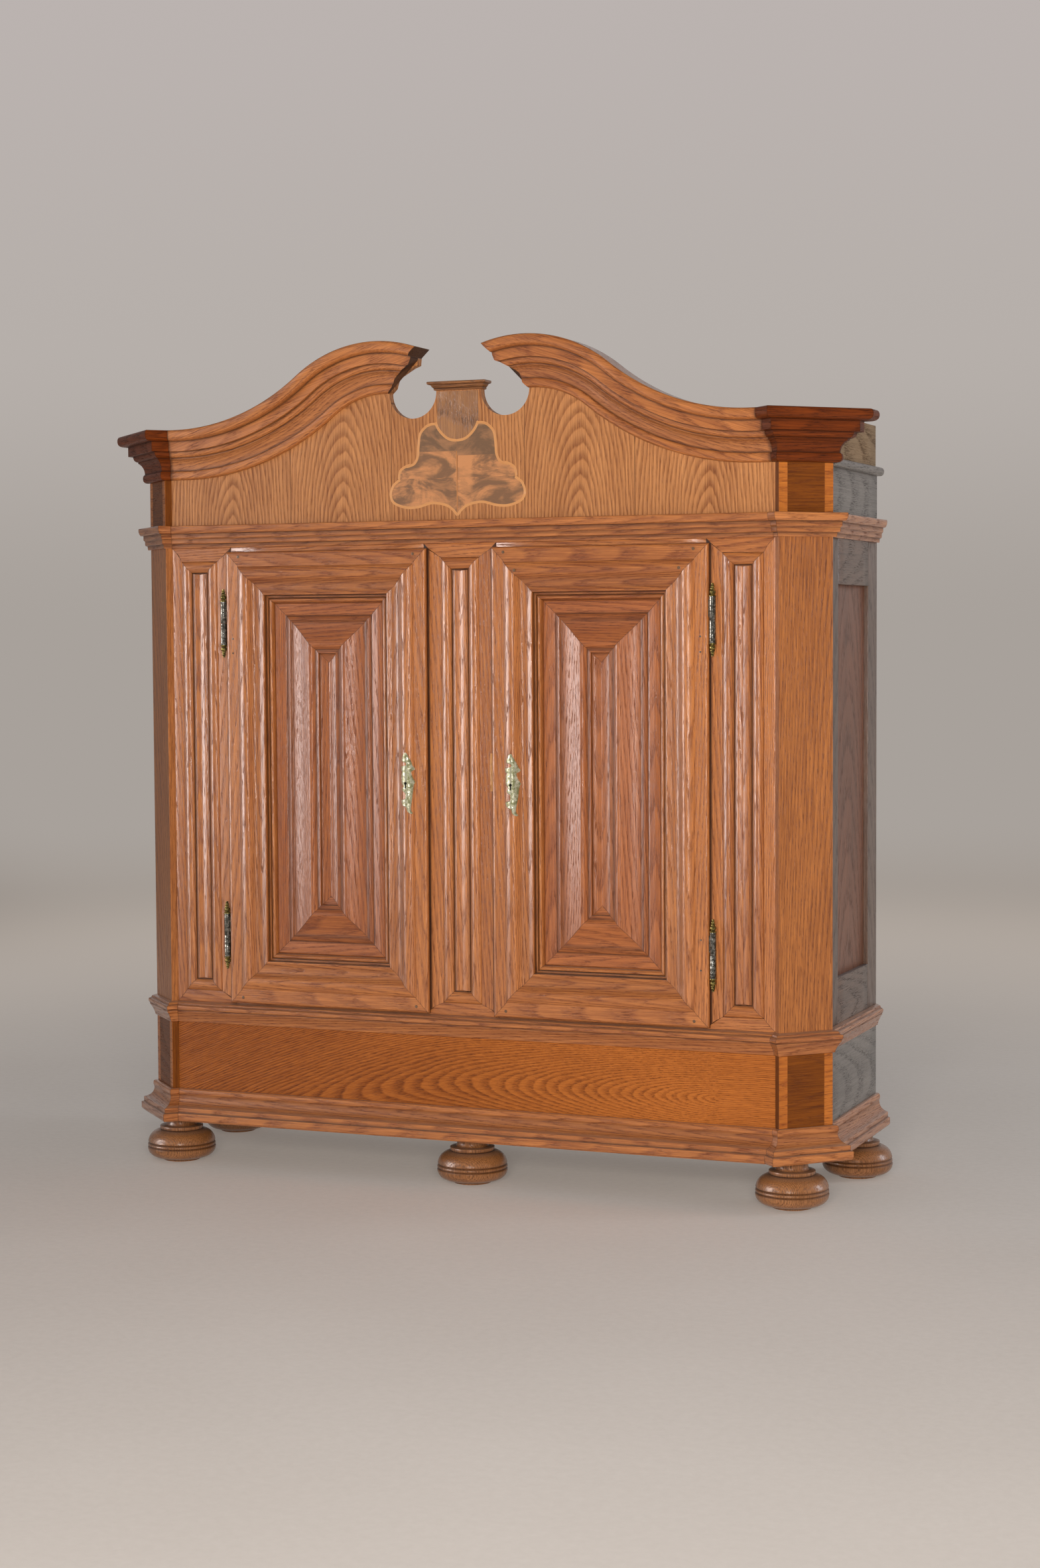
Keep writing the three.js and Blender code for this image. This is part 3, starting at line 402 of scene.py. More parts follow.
# One node: its kind and choice, its inputs in order or in one dictionary by name, its settings.
# It gives one output by number or name, or all of them for None.
def addNode(tree, kind, *inputs, output=0, **settings):
    kind, _, choice = kind.partition(" ")
    made = tree.nodes.new("ShaderNode" + kind)
    if choice:
        settings[choices[kind]] = choice
    for key, value in settings.items():
        setattr(made, key, value)
    if inputs and isinstance(inputs[0], dict):
        pairs = [(made.inputs[key], value) for key, value in inputs[0].items()]
    else:
        pairs = zip([socket for socket in made.inputs if socket.enabled], inputs)
    for socket, value in pairs:
        if isinstance(value, bpy.types.NodeSocket):
            tree.links.new(value, socket)
        else:
            socket.default_value = value
    if output is None or isinstance(output, str):
        return made.outputs if output is None else made.outputs[output]
    return [socket for socket in made.outputs if socket.enabled][output]


# Turns the nodes of a material or a world on; the result adds a node to them
def startNodes(block):
    block.use_nodes = True
    block.node_tree.nodes.clear()
    return partial(addNode, block.node_tree)


# Noise stretched by the three scales, 0 to 1, with its middle at 0.5
def noise(add, vector, scales, detail=2.0, roughness=0.5, distortion=0.0):
    return add("TexNoise", {
        "Vector": add("VectorMath MULTIPLY", vector, scales), "Scale": 1.0, "Detail": detail,
        "Roughness": roughness, "Distortion": distortion,
    })


# The patterns of wood, per metre along, across and into the board: waves of 450 mm with ripples
# of 110 mm in the rings, streaks 140 mm long and 3 mm wide, clouds of 500 by 90 mm, pores 24 mm
# long and 2 mm wide, and the marks of a hand plane, 200 by 24 mm
grainScales = {
    "wave": (2.2, 9, 9), "ripple": (9, 60, 60), "streak": (7, 310, 310), "cloud": (2.0, 11, 11),
    "pores": (42, 520, 520), "plane": (5, 42, 42),
}
# Share of each ring's width, and how light the wood is there: the dark pores of spring first,
# then pale summer wood, and a hard edge back to dark
ringRamp = [(0.0, 0.1), (0.22, 0.35), (0.55, 0.9), (0.86, 1.0), (1.0, 0.1)]


# Growth rings. The distance from the pith is the root of across squared plus depth squared, and
# the pith lies deeper further along, so a flat face cuts the rings into arches.
def growthRings(add, grain, look):
    x, y, z = add("SeparateXYZ", grain, output=None)
    wave = add("Math MULTIPLY_ADD", noise(add, grain, grainScales["ripple"]), look["ripple"],
               noise(add, grain, grainScales["wave"]))
    wave = add("Math SUBTRACT", wave, 0.5 + look["ripple"] / 2)
    across = add("Math MULTIPLY_ADD", wave, look["wobble"], y)
    depth = add("Math ADD", z, add("Math MULTIPLY_ADD", x, look["taper"], look["pith"]))
    depth = add("Math MULTIPLY_ADD", wave, look["wobble"] * 0.5, depth)
    depth = add("Math MULTIPLY", depth, depth)
    distance = add("Math SQRT", add("Math MULTIPLY_ADD", across, across, depth))
    ramp = add("ValToRGB", add("Math FRACT", add("Math DIVIDE", distance, look["ring"])))
    elements = ramp.node.color_ramp.elements
    for position, _ in ringRamp[1:-1]:
        elements.new(position)
    for element, (position, value) in zip(elements, ringRamp):
        element.position, element.color = position, (value, value, value, 1)
    return ramp


# Leaves of veneer side by side: at each seam the grain moves on to the next leaf's middle and to
# another place along the log, as far as jump times the middle. The last output is 1 within the
# seam's own dark line.
def leafPlace(add, grain, look, jump=7.3):
    across = add("SeparateXYZ", grain, output=1)
    middle, line = look["middles"][0], 0.0
    steps = np.diff(look["middles"]).tolist()
    for edge, step in zip(look["seams"], steps):
        beyond = add("Math GREATER_THAN", across, edge)
        middle = add("Math MULTIPLY_ADD", beyond, step, middle)
        away = add("Math ABSOLUTE", add("Math SUBTRACT", across, edge))
        near = add("MapRange SMOOTHSTEP", away, 0.0004, 0.0014, 1.0, 0.0)
        line = add("Math MAXIMUM", line, near)
    along = add("Math MULTIPLY", middle, jump)
    back = add("Math MULTIPLY", middle, -1.0)
    moved = add("VectorMath ADD", grain, add("CombineXYZ", along, back))
    x, y, z = add("SeparateXYZ", moved, output=None)
    return moved, add("CombineXYZ", add("Math SUBTRACT", x, along), y, z), line


# The colour of wood: from dark to light by its parts' shares round a middle of one half, then
# deep in the pores, and under dirt and dust
def woodColour(add, look, parts):
    amount = 0.5 - 0.55 * look["ringContrast"] - 0.5 * look["streak"] - 0.5 * look["cloud"]
    for key in ("ringContrast", "streak", "cloud", "tone"):
        amount = add("Math MULTIPLY_ADD", parts[key], look[key], amount)
    colour = add("Mix RGBA", amount, srgb(look["dark"]), srgb(look["light"]))
    for key, shade in (("pores", "deep"), ("dirt", "dirt"), ("dust", "dustColour")):
        colour = add("Mix RGBA", parts[key], colour, srgb(look[shade]))
    return colour


# Wood: rings, fine streaks, clouds and open pores, then dirt in the corners and dust on what
# faces up. Pores and dirt are rough and take no wax, and streaks and plane marks are the relief.
def wood(name, **changes):
    look = waxedOak | changes
    material = bpy.data.materials.new(name)
    add = startNodes(material)
    grain = add("Attribute", attribute_name="grain", output="Vector")
    tone = add("Attribute", attribute_name="tone", output="Fac")
    grime = add("Attribute", attribute_name="grime", output="Fac")
    ringPlace = grain
    if "seams" in look:
        grain, ringPlace, line = leafPlace(add, grain, look)
        grime = add("Math MAXIMUM", grime, add("Math MULTIPLY", line, 0.6))
    band = growthRings(add, ringPlace, look)
    streak = noise(add, grain, grainScales["streak"], 3.0, 0.7)
    cloud = noise(add, grain, grainScales["cloud"], 3.0)
    pores = noise(add, grain, grainScales["pores"], 2.0, 0.6)
    pore = add("Math MULTIPLY", add("MapRange SMOOTHSTEP", pores, 0.5, 0.6),
               add("Math SUBTRACT", 1.15, band), use_clamp=True)
    dirt = add("Math MULTIPLY", grime, add("Math MULTIPLY_ADD", cloud, 0.8, 0.6))
    dirt = add("Math MULTIPLY", dirt, look["grime"], use_clamp=True)
    upward = add("SeparateXYZ", add("NewGeometry", output="Normal"), output=2)
    dust = add("Math MULTIPLY", add("MapRange SMOOTHSTEP", upward, 0.75, 0.98), look["dust"])
    dust = add("Math MULTIPLY", dust, add("Math MULTIPLY_ADD", cloud, 0.7, 0.6), use_clamp=True)
    colour = woodColour(add, look, {
        "ringContrast": band, "streak": streak, "cloud": cloud, "tone": tone, "dirt": dirt,
        "dust": dust, "pores": add("Math MULTIPLY", pore, look["pores"]),
    })
    rough = look["roughness"]
    for part, share in ((pore, 0.25), (dirt, 0.2), (dust, 0.35)):
        rough = add("Math MULTIPLY_ADD", part, share, rough)
    waxed = add("Math SUBTRACT", 1.0, add("Math MAXIMUM", pore, dirt), use_clamp=True)
    height = add("Math MULTIPLY_ADD", pore, -0.5, add("Math MULTIPLY", streak, 0.35))
    plane = noise(add, grain, grainScales["plane"], 1.0)
    height = add("Math MULTIPLY_ADD", plane, look["planing"], height)
    bump = add("Bump", {"Height": height, "Strength": look["bump"], "Distance": 0.0012})
    shader = add("BsdfPrincipled", {
        "Base Color": colour, "Roughness": rough, "Normal": bump,
        "Specular IOR Level": look["specular"],
        "Coat Weight": add("Math MULTIPLY", waxed, look["coat"]),
        "Coat Roughness": look["coatRoughness"], "Coat Normal": bump,
    })
    add("OutputMaterial", shader, output=None)
    return material


# Burr: swirling patches of dark and light with knots in them, from the place on the cartouche
def burr(name, **changes):
    look = burrLook | changes
    material = bpy.data.materials.new(name)
    add = startNodes(material)
    grain = add("Attribute", attribute_name="grain", output="Vector")
    x, y, _ = add("SeparateXYZ", grain, output=None)
    patches = noise(add, grain, (12, 19, 20), 4.0, 0.6, 0.9)
    lines = noise(add, grain, (30, 150, 90), 4.0, 0.65, 1.8)
    patchX, patchZ = look["patch"]
    besides = add("Math ABSOLUTE", add("Math SUBTRACT", x, patchX))
    above = add("Math ABSOLUTE", add("Math SUBTRACT", y, patchZ))
    onPatch = add("Math MULTIPLY", add("MapRange SMOOTHSTEP", besides, 0.012, 0.03, 1.0, 0.0),
                  add("MapRange SMOOTHSTEP", above, 0.04, 0.065, 1.0, 0.0))
    amount = add("Math MULTIPLY_ADD", add("Math SUBTRACT", lines, 0.5), 0.8,
                 add("MapRange SMOOTHSTEP", patches, 0.38, 0.64))
    amount = add("Math MULTIPLY_ADD", onPatch, 0.8, amount)
    amount = add("Math SUBTRACT", amount, look["darker"])
    colour = add("Mix RGBA", amount, srgb(look["dark"]), srgb(look["light"]))
    knot = 0.0
    for knotX, knotZ in look["knots"]:
        away = add("VectorMath DISTANCE", grain, (knotX, knotZ, 0))
        near = add("MapRange SMOOTHSTEP", away, 0.002, 0.007, 0.9, 0.0)
        knot = add("Math MAXIMUM", knot, near)
    colour = add("Mix RGBA", knot, colour, srgb(look["deep"]))
    shader = add("BsdfPrincipled", {
        "Base Color": colour, "Roughness": 0.42, "Coat Weight": 0.2, "Coat Roughness": 0.28,
    })
    add("OutputMaterial", shader, output=None)
    return material


# Metal with a patina: two colours mixed by a cloudy noise, duller where the dirt sits. A scale
# of 160 gives clouds of 6 mm, and the grit is six times finer.
def metal(name, bright, dull, roughness, metallic=1.0, scale=160.0):
    material = bpy.data.materials.new(name)
    add = startNodes(material)
    spot = add("TexCoord", output="Object")
    cloud = noise(add, spot, (scale,) * 3, 4.0, 0.6)
    grit = noise(add, spot, (scale * 6,) * 3)
    amount = add("MapRange SMOOTHSTEP", cloud, 0.38, 0.62)
    bump = add("Bump", {"Height": add("Math MULTIPLY_ADD", grit, 0.3, cloud), "Strength": 0.3,
                        "Distance": 0.0006})
    shader = add("BsdfPrincipled", {
        "Base Color": add("Mix RGBA", amount, srgb(bright), srgb(dull)),
        "Roughness": add("Math MULTIPLY_ADD", amount, 0.25, roughness),
        "Metallic": metallic, "Normal": bump,
    })
    add("OutputMaterial", shader, output=None)
    return material


# Oak, oiled and waxed to a honey brown, with open pores that the dirt of two centuries fills.
# The pores are drawn coarser than real ones, because finer ones would not show. Colours are
# sRGB, and ring, pith and wobble are in metres.
waxedOak = {
    "light": "cd8142", "dark": "7f3f18", "deep": "5c2b0d", "dirt": "331708", "ring": 0.0042,
    "pith": 0.05, "taper": 0.03, "wobble": 0.005, "ripple": 0.25, "ringContrast": 0.3,
    "streak": 1.8, "cloud": 0.6, "tone": 0.1, "pores": 0.65, "grime": 0.95, "dust": 0.35,
    "dustColour": "8d8175", "roughness": 0.4, "specular": 0.45, "coat": 1.0,
    "coatRoughness": 0.17, "bump": 0.45, "planing": 0.22,
}
oak = wood("oak, oiled and waxed")
# The door panels have a redder and darker tone than their frames
panelOak = wood("oak, redder, in the panels", light="bd7039", dark="793b1a", coat=0.6)
# The pilasters: quiet brown boards with little gloss
pilasterOak = wood("oak, quiet brown", light="bf773b", dark="784019", ringContrast=0.25,
                   streak=2.2, coat=0.25, wobble=0.003)
# The base board: flat-sawn oak. Its mesh gives the grain's whole course, so there is no taper.
boardOak = wood("oak, flat-sawn and waxed", light="bf6f2c", dark="743709", ring=0.005, pith=0.0,
                taper=0.0, wobble=0.012, ripple=0.4, ringContrast=0.45, streak=1.3, cloud=0.4,
                tone=0.17, coat=0.1, specular=0.2)
# The older, darker pieces: feet, lower moulding, cap and corner cornice
darkOak = wood("oak, dark with old wax", light="b47a4a", dark="6c3f1e", deep="2c1608",
               roughness=0.3, coat=0.6, coatRoughness=0.16, dust=0.2, planing=0.2)
cornerOak = wood("oak, red brown with old wax", light="843d12", dark="461b05", deep="2c1204",
                 dust=0.3, specular=0.15, coat=0.08)
# Veneer of the pediment in five upright leaves, with the seams between them
leafOak = wood("oak veneer in upright leaves", light="cf8f57", dark="7c431c", ring=0.0105,
               pith=0.014, taper=0.26, wobble=0.032, ripple=0.35, ringContrast=0.46, streak=1.5,
               pores=0.4, coat=0.15, specular=0.25, roughness=0.46,
               seams=(-0.506, -0.199, 0.189, 0.499), middles=(-0.69, -0.35, -0.40, 0.342, 0.70))
# Cross-grained field of the corner blocks, and the bright bands at their edges
fieldOak = wood("oak veneer, laid across", light="86480f", dark="4e2404", ringContrast=0.12,
                specular=0.2, coat=0.1, streak=2.0)
bandOak = wood("oak banding, laid across", light="cc7a2c", dark="9a4f16", ringContrast=0.2,
               tone=0.12, specular=0.35, coat=0.2)
# Light fruitwood ribbon round the cartouche
ribbonWood = wood("pear wood stringing", light="dda063", dark="c98646", pores=0.1,
                  ringContrast=0.1, streak=0.5)
# Burr leaves inside the ribbon: the upper two darker, the lower four with light patches
burrLook = {
    "light": "cb8a56", "dark": "7f5a3c", "deep": "3b2a1d", "darker": 0.05,
    "patch": (0.022, 0.012),
    "knots": ((0.021, 0.026), (0.02, -0.014), (-0.052, -0.006), (0.068, -0.04)),
}
burrWood = burr("walnut burr veneer")
darkBurr = burr("walnut burr veneer, dark", light="a5744c", dark="74553a", darker=0.1)
walnut = wood("walnut veneer", light="b07a4a", dark="744a2b", deep="3c2415", ring=0.012,
              wobble=0.03, taper=0.1, cloud=1.0)
# Side boards, faded by light and damp: silver grey in the base and frieze, browner in the frame
fadedLook = {"dirt": "221c18", "dust": 0.4, "dustColour": "8c8f93", "ringContrast": 0.15,
             "cloud": 1.1}
greyOak = wood("oak, faded to silver grey", light="8a8178", dark="5b544f", deep="38322e",
               coat=0.35, **fadedLook)
fadedOak = wood("oak, faded and dull", light="735a4b", dark="46342b", deep="30241d",
                roughness=0.38, coat=0.45, **fadedLook)
sideOak = wood("oak, brown side panel", light="8c5335", dark="50301d", deep="2e1c12",
               roughness=0.42, coat=0.35, dust=0.3, ringContrast=0.15, cloud=0.9)
# Planed boards inside and behind, never waxed
rawOak = wood("oak, planed and bare", light="a98c6b", dark="77593d", deep="4a3524",
              dirt="2f2116", roughness=0.72, coat=0.0, specular=0.25, ring=0.0055,
              ringContrast=0.4, bump=0.7, dust=0.15)
# Sawn ends, dark with age
endOak = wood("oak, sawn end grain", light="5f3a1f", dark="351c0d", deep="1c0f07",
              roughness=0.6, coat=0.05, streak=0.6, dust=0.2)
# A pale patch let into a worn stile, and the pegs of the door frames
patchOak = wood("oak patch, honey", light="cc9150", dark="a96f35")
pegOak = wood("oak pegs", light="86633f", dark="5c3d22", ring=0.002)
# Hinge barrels blackened by oil, with rubbed brass finials
darkMetal = metal("bronze, blackened", "94928a", "46443d", 0.16, 0.85)
finialMetal = metal("brass, rubbed finials", "a39455", "4c4326", 0.26, 0.8)
# Escutcheons: cast brass gone silvery green
escutcheonMetal = metal("brass, silvery green patina", "d6d4ba", "8b8c63", 0.24, 0.55, 120.0)
# Iron of the locks and nails, dark with dull patches, and the lining that makes a keyhole deep
iron = metal("iron, forged and oiled", "4d4843", "2a2725", 0.45)
nailIron = metal("iron nails", "8a8a86", "3a3734", 0.4)
keyholeBlack = metal("keyhole lining, black iron", "0c0a09", "050404", 0.7, 0.0)
print("materials made:", len(bpy.data.materials))

# Plan of the case, from the left back corner round the front to the right back corner

proud = case["pilasterProud"] / math.sqrt(2)
planRight = np.array([
    [case["frontHalf"], 0], [case["frontHalf"] + proud, -proud],
    [case["sidePlane"] + proud, case["cornerCut"] - proud],
    [case["sidePlane"], case["cornerCut"]], [case["sidePlane"], case["depth"]],
])
plan = np.concatenate([(planRight * [-1, 1])[::-1], planRight])
planFigures = ["straight", "half", "straight", "half", "figured", "half", "straight", "half",
               "straight"]
behindCorner = case["cornerCut"] + 0.2

# Outlines run from bottom to top, or from the outside in, in shares of projection and height

# Feet

foot = {"radius": 97, "frontX": 908, "frontY": 58, "rearX": 965, "rearY": 504}
footShares = [
    [0.536, 0], [0.536, 0.047], [0.98, 0.06, 1, 0.29], [0.965, 0.315], [0.995, 0.345],
    [0.99, 0.375], [0.955, 0.4], [0.985, 0.43], [0.93, 0.66, 0.6, 0.69], [0.63, 0.709],
    [0.63, 0.772], [0.47, 0.785], [0.4, 0.87, 0.46, 0.955], [0.474, 0.965], [0.474, 1],
]
ball = tracePoints(footShares, foot["radius"], level["base"], 12)
ball = eased(toAxis(ball, 0, level["base"]), 0.6)
for spot, x, y in (("front_left", -foot["frontX"], foot["frontY"]),
                   ("front_middle", 0, foot["frontY"]),
                   ("front_right", foot["frontX"], foot["frontY"]),
                   ("rear_left", -foot["rearX"], foot["rearY"]),
                   ("rear_right", foot["rearX"], foot["rearY"])):
    addPiece(f"foot.{spot}", [turned(ball, x, y, 96, cavityOf(ball, 2.0))], darkOak, "dark_oak")
print("feet made")

# Base: bottom board, boards, corner blocks and the two mouldings

baseMoulding = {"projection": 40.5, "height": 89}
baseMouldingShares = [
    [0.914, 0], [1, 0.06], [1, 0.247], [0.852, 0.27], [0.852, 0.421], [0.815, 0.427],
    [0.28, 0.5, 0.235, 0.742], [0.252, 0.8], [0.32, 0.85, 0.284, 0.93], [0.25, 1, 0.05, 1],
]
sillMoulding = {"projection": 20.5, "height": 60}
sillMouldingShares = [
    [0.146, 0], [0.234, 0.017], [0.33, 0.25, 0.854, 0.517], [0.854, 0.583], [1, 0.6, 1, 0.7],
    [1, 0.78, 0.951, 0.783], [0.683, 0.833], [0.6, 0.93, 0.488, 0.933], [0.05, 1],
]
baseLow = level["base"] + case["bottom"]
addPiece("baseBottom", [standing(plan * [0.999, 1.0], level["base"], baseLow, frontSide)],
         rawOak, "inner_oak")
addPiece("baseMouldingLower", wrapped(
    baseMouldingShares, baseMoulding["projection"], baseMoulding["height"], level["base"],
), oak, "dark_oak")
arches = {"eyeX": 735, "eyeZ": 284, "start": 40, "approach": 0.2, "deepest": 220,
          "straightFrom": 700, "straightOver": 700, "drop": 150, "power": 1.6}


# The base board's figure: arches that point left, round an eye near the right end. The pith
# comes nearer towards the eye, as one minus an exponential, and moves below the board further
# left, where the lines run straight.
def boardFigure(rings):
    x, _, z = rings.reshape(-1, 3).T
    away = np.maximum(arches["eyeX"] - x, 0)
    depth = arches["deepest"] * (1 - np.exp(-away * arches["approach"] / arches["deepest"]))
    turn = np.clip(away - arches["straightFrom"], 0, None) / arches["straightOver"]
    centre = arches["eyeZ"] - arches["drop"] * turn ** arches["power"]
    return np.column_stack([x + arches["start"], z - centre, depth]) * millimetre


boardX = case["frontHalf"] - 0.2
boardPlan = fineOutline([[0, baseLow], [case["wall"], baseLow], [case["wall"], level["sill"]],
                         [0, level["sill"]]], 1.2)
boardRings = np.stack([np.column_stack([np.full(len(boardPlan), x), boardPlan])
                       for x in np.linspace(-boardX, boardX, 90)])
boardTone = np.clip(boardRings[..., 0].ravel() / 600, -1, 1)
addPiece("baseBoardFront", [ringShell(boardRings, boardFigure(boardRings), 0.0, boardTone)],
         boardOak)

# Plan of the plank across the right cut corner, with the pilaster's returns
cornerPlan = np.concatenate([planRight[:4], [[case["innerSide"], case["cornerCut"]],
                                             [case["frontHalf"], case["wall"]]]])


# Veneer on the cut corner's face: shares of its width, and how thick and how deep it is laid
cornerFace = {"field": (0.16, 0.84), "bands": ((0.0, 0.157), (0.843, 1.0)), "fieldThick": 0.12,
              "bandThick": 0.25, "sunk": 0.4, "edge": 0.2, "baseShown": 62, "margin": 1}


# Strip laid on the cut corner's face between two shares of its width
def cornerStrip(shares, low, high, thickness, figure="straight"):
    start, run = planRight[1], planRight[2] - planRight[1]
    unit = run / np.linalg.norm(run)
    out = np.array([unit[1], -unit[0]])
    first, last = (start + run * share for share in shares)
    fine = fineOutline([first - out * cornerFace["sunk"], last - out * cornerFace["sunk"],
                        last + out * thickness, first + out * thickness], cornerFace["edge"])
    return member(planRing(fine, low), planRing(fine, high), np.array([*out, 0.0]), 0.0, (0, 0),
                  figure, along=np.array([*unit, 0.0]), gap=0)


# Corner block: a dark plank, a cross-grained field and a bright band on each side of it
def cornerBlock(name, side, low, high, shownLow, shownHigh):
    flip = mirrored if side == "left" else (lambda shell: shell)
    shown = (shownLow, shownHigh)
    addPiece(f"{name}.{side}", [flip(standing(cornerPlan, low, high, cornerSide))], fieldOak,
             "oak_veneer")
    field = cornerStrip(cornerFace["field"], *shown, cornerFace["fieldThick"], "half")
    addPiece(f"{name}.{side}Field", [flip(field)], fieldOak, "oak_veneer")
    addPiece(f"{name}.{side}Bands", [
        flip(cornerStrip(shares, *shown, cornerFace["bandThick"]))
        for shares in cornerFace["bands"]
    ], bandOak, "oak_veneer")


for side, sign in bothSides:
    cornerBlock("baseCorner", side, baseLow, level["sill"], baseLow + cornerFace["baseShown"],
                level["sill"] - cornerFace["margin"])
    addPiece(f"baseBoard.{side}", [
        wallBoard(sign, (behindCorner, case["depth"]), (baseLow, level["sill"]), 1, "figured"),
    ], greyOak)
addPiece("baseMouldingUpper", wrapped(
    sillMouldingShares, sillMoulding["projection"], sillMoulding["height"], level["sill"],
), oak)
print("base made")

# Front frame: rails behind the mouldings, pilasters and lisenes

lisene = {
    "middleHalf": 106, "outerWidth": 186, "openingHalf": 56, "openingOffset": 86,
    "bottomRail": 33, "topRail": 38, "roll": 9, "fieldEnd": 0.6, "endShare": 0.12,
    "dirtFrom": 2, "dirtOver": 6, "panelDepth": 8, "gap": 0.05,
}
patch = {"x": (84.5, 98.3), "z": (1077, 1179), "proud": 0.25, "depth": 2, "edge": 0.2}
liseneShares = [
    [0, -0.25], [0.02, 0.1], [0.15, 0.72, 0.3, 0.78], [0.42, 0.74, 0.55, 0], [0.565, -0.3],
    [0.59, -0.3], [lisene["fieldEnd"], -0.1], [0.75, 0.33], [0.82, 0.33, 1, 0],
]
door = {
    "bottomGap": 3, "topGap": 12.5, "lip": 12.5, "lipRound": 8, "proud": 15, "depth": 20,
    "clearance": 0.5, "sideClearance": 2, "endClearance": 1.5, "stileFace": 36.5,
    "railFace": 40.5,
}
outerEdge = case["frontHalf"] - lisene["outerWidth"]
overlap = door["lip"] - door["sideClearance"]
doorLow = level["body"] + door["bottomGap"]
doorHigh = level["architrave"] - door["topGap"]
openingLow = doorLow + door["lip"] - door["endClearance"]
openingHigh = doorHigh - door["lip"] + door["endClearance"]


# A rail across the whole front, and on each side a tongue that the door's lip closes against
def notchedRail(name, railLow, railHigh, tongueLow, tongueHigh):
    tongue = plank([lisene["middleHalf"], 0.05, tongueLow],
                   [outerEdge, case["wall"], tongueHigh], 0, frontSide, tone=0.0)
    end = case["frontHalf"] - case["seat"]
    rail = plank([-end, 0, railLow], [end, case["wall"], railHigh], 0, frontSide)
    addPiece(name, [rail, tongue, mirrored(tongue)], oak)


notchedRail("sillRail", level["sill"], level["body"], level["body"], openingLow)
notchedRail("headRail", level["architrave"], level["frieze"], openingHigh, level["architrave"])
cornerPost = standing(cornerPlan, level["sill"], level["frieze"], cornerSide, 0.0)
addPiece("cornerPost.right", [cornerPost], pilasterOak)
addPiece("cornerPost.left", [mirrored(cornerPost)], pilasterOak)


# Lisene: a mitred frame and the moulded panel in its opening. The face is dark with dirt beside
# the lips of the doors, which lie over its edges.
def liseneShells(left, right, centre):
    whole = box(left, right, level["body"], level["architrave"])
    half, back = lisene["openingHalf"], -case["wall"]
    opening = box(centre - half, centre + half, level["body"] + lisene["bottomRail"],
                  level["architrave"] - lisene["topRail"])
    dirtFrom = overlap + lisene["dirtFrom"]
    lines = inset(whole, [dirtFrom, dirtFrom + lisene["dirtOver"]])
    boxes = np.concatenate([[whole], lines, [opening, opening, whole]])
    boxes, heights = fineFrame(boxes, np.array([0.0, 0.0, 0.0, 0.0, back, back]))
    beside = 1 - (boxes[:, 0] - left - dirtFrom) / lisene["dirtOver"]
    beside = np.where(heights > -1, beside, 0)
    besideDoor = [[left > -case["frontHalf"]], [False], [right < case["frontHalf"]], [False]]
    shells = mitredFrame(boxes, heights, dirt=np.clip(beside, 0, 1) * np.array(besideDoor))
    gap, under = lisene["gap"], back + lisene["panelDepth"]
    face = tracePoints(liseneShares, half, lisene["roll"]) + [gap, 0]
    outline = fineOutline(np.concatenate([[[gap, under]], face, [[half, under]]]))
    outline[:, 0] = np.minimum(outline[:, 0], half)
    field = half * lisene["fieldEnd"]
    ends = field + np.maximum(outline[:, 0] - field, 0) * lisene["endShare"]
    return shells + panelMembers(opening, outline, np.minimum(outline[:, 0], ends))


# Four mitred members that meet in the middle; the upright two come from one board. The insets
# at the ends can be smaller than those at the sides, and cut the middle field off short.
def panelMembers(outer, outline, ends=None):
    across = np.minimum(outline[:, 0], (outer[1] - outer[0]) / 2 - 0.02)
    boxes = inset(outer, across, across if ends is None else np.minimum(across, ends))
    centre = [(outer[0] + outer[1]) / 2, 0, (outer[2] + outer[3]) / 2]
    shift = [random.uniform(0, 30), random.choice([-1, 1]) * random.uniform(0.06, 0.14), 0.01]
    tone = random.uniform(-1, 1)

    def upright(rings):
        return fromCentre(rings, centre)[:, [2, 0, 1]] + np.array(shift)

    return mitredFrame(boxes, outline[:, 1], grains=(upright, None, upright, None),
                       tones=(tone, None, tone, None))


liseneCentre = case["frontHalf"] - lisene["openingOffset"]
for name, *edges in (("right", outerEdge, case["frontHalf"], liseneCentre),
                     ("left", -case["frontHalf"], -outerEdge, -liseneCentre),
                     ("middle", -lisene["middleHalf"], lisene["middleHalf"], 0)):
    addPiece(f"lisene.{name}", liseneShells(*edges), oak)
addPiece("lisene.patch", [
    plank([patch["x"][0], -patch["proud"], patch["z"][0]],
          [patch["x"][1], patch["depth"], patch["z"][1]], 2, frontSide, tone=0.6,
          ease=patch["edge"]),
], patchOak)
print("front frame made")

# Doors. The crosswise members are figured, and the upper one is darker than the rest.

bolection = {"width": 103, "height": 24, "rebate": 38, "foot": 11.4}
bolectionShares = [
    [0, 0.635], [0.08, 0.93, 0.2, 1], [0.3, 1.02, 0.372, 0.69], [0.45, 0.36, 0.535, 0.32],
    [0.62, 0.28, 0.66, 0.34], [0.75, 0.5], [0.778, 0.47], [0.79, -0.07], [0.8, 0], [0.85, 0],
    [0.865, -0.18], [0.885, 0, 0.92, -0.02], [0.97, -0.07, 0.98, -0.29],
]
panel = {"width": 165, "height": 15}
doorPanelShares = [
    [0, -0.78], [0.018, -0.633], [0.091, -0.633], [0.194, -0.833], [0.218, -1],
    [0.233, -0.867], [0.285, -0.6], [0.291, -0.667], [0.333, -0.84],
    [0.418, -0.74, 0.527, -0.3], [0.661, 0.267], [0.709, 0.45, 0.764, -0.1], [0.782, -0.233],
    [0.842, 0], [0.848, -0.467], [0.903, -0.767, 1, -0.8],
]
lipShares = [[0, 0.55], [0.1, 0.95, 1, 1]]
doorBoards = {"figures": ("straight", "figured", "straight", "figured"),
              "tones": (None, -1.5, None, None)}
bolectionFace = tracePoints(bolectionShares, bolection["width"], bolection["height"])


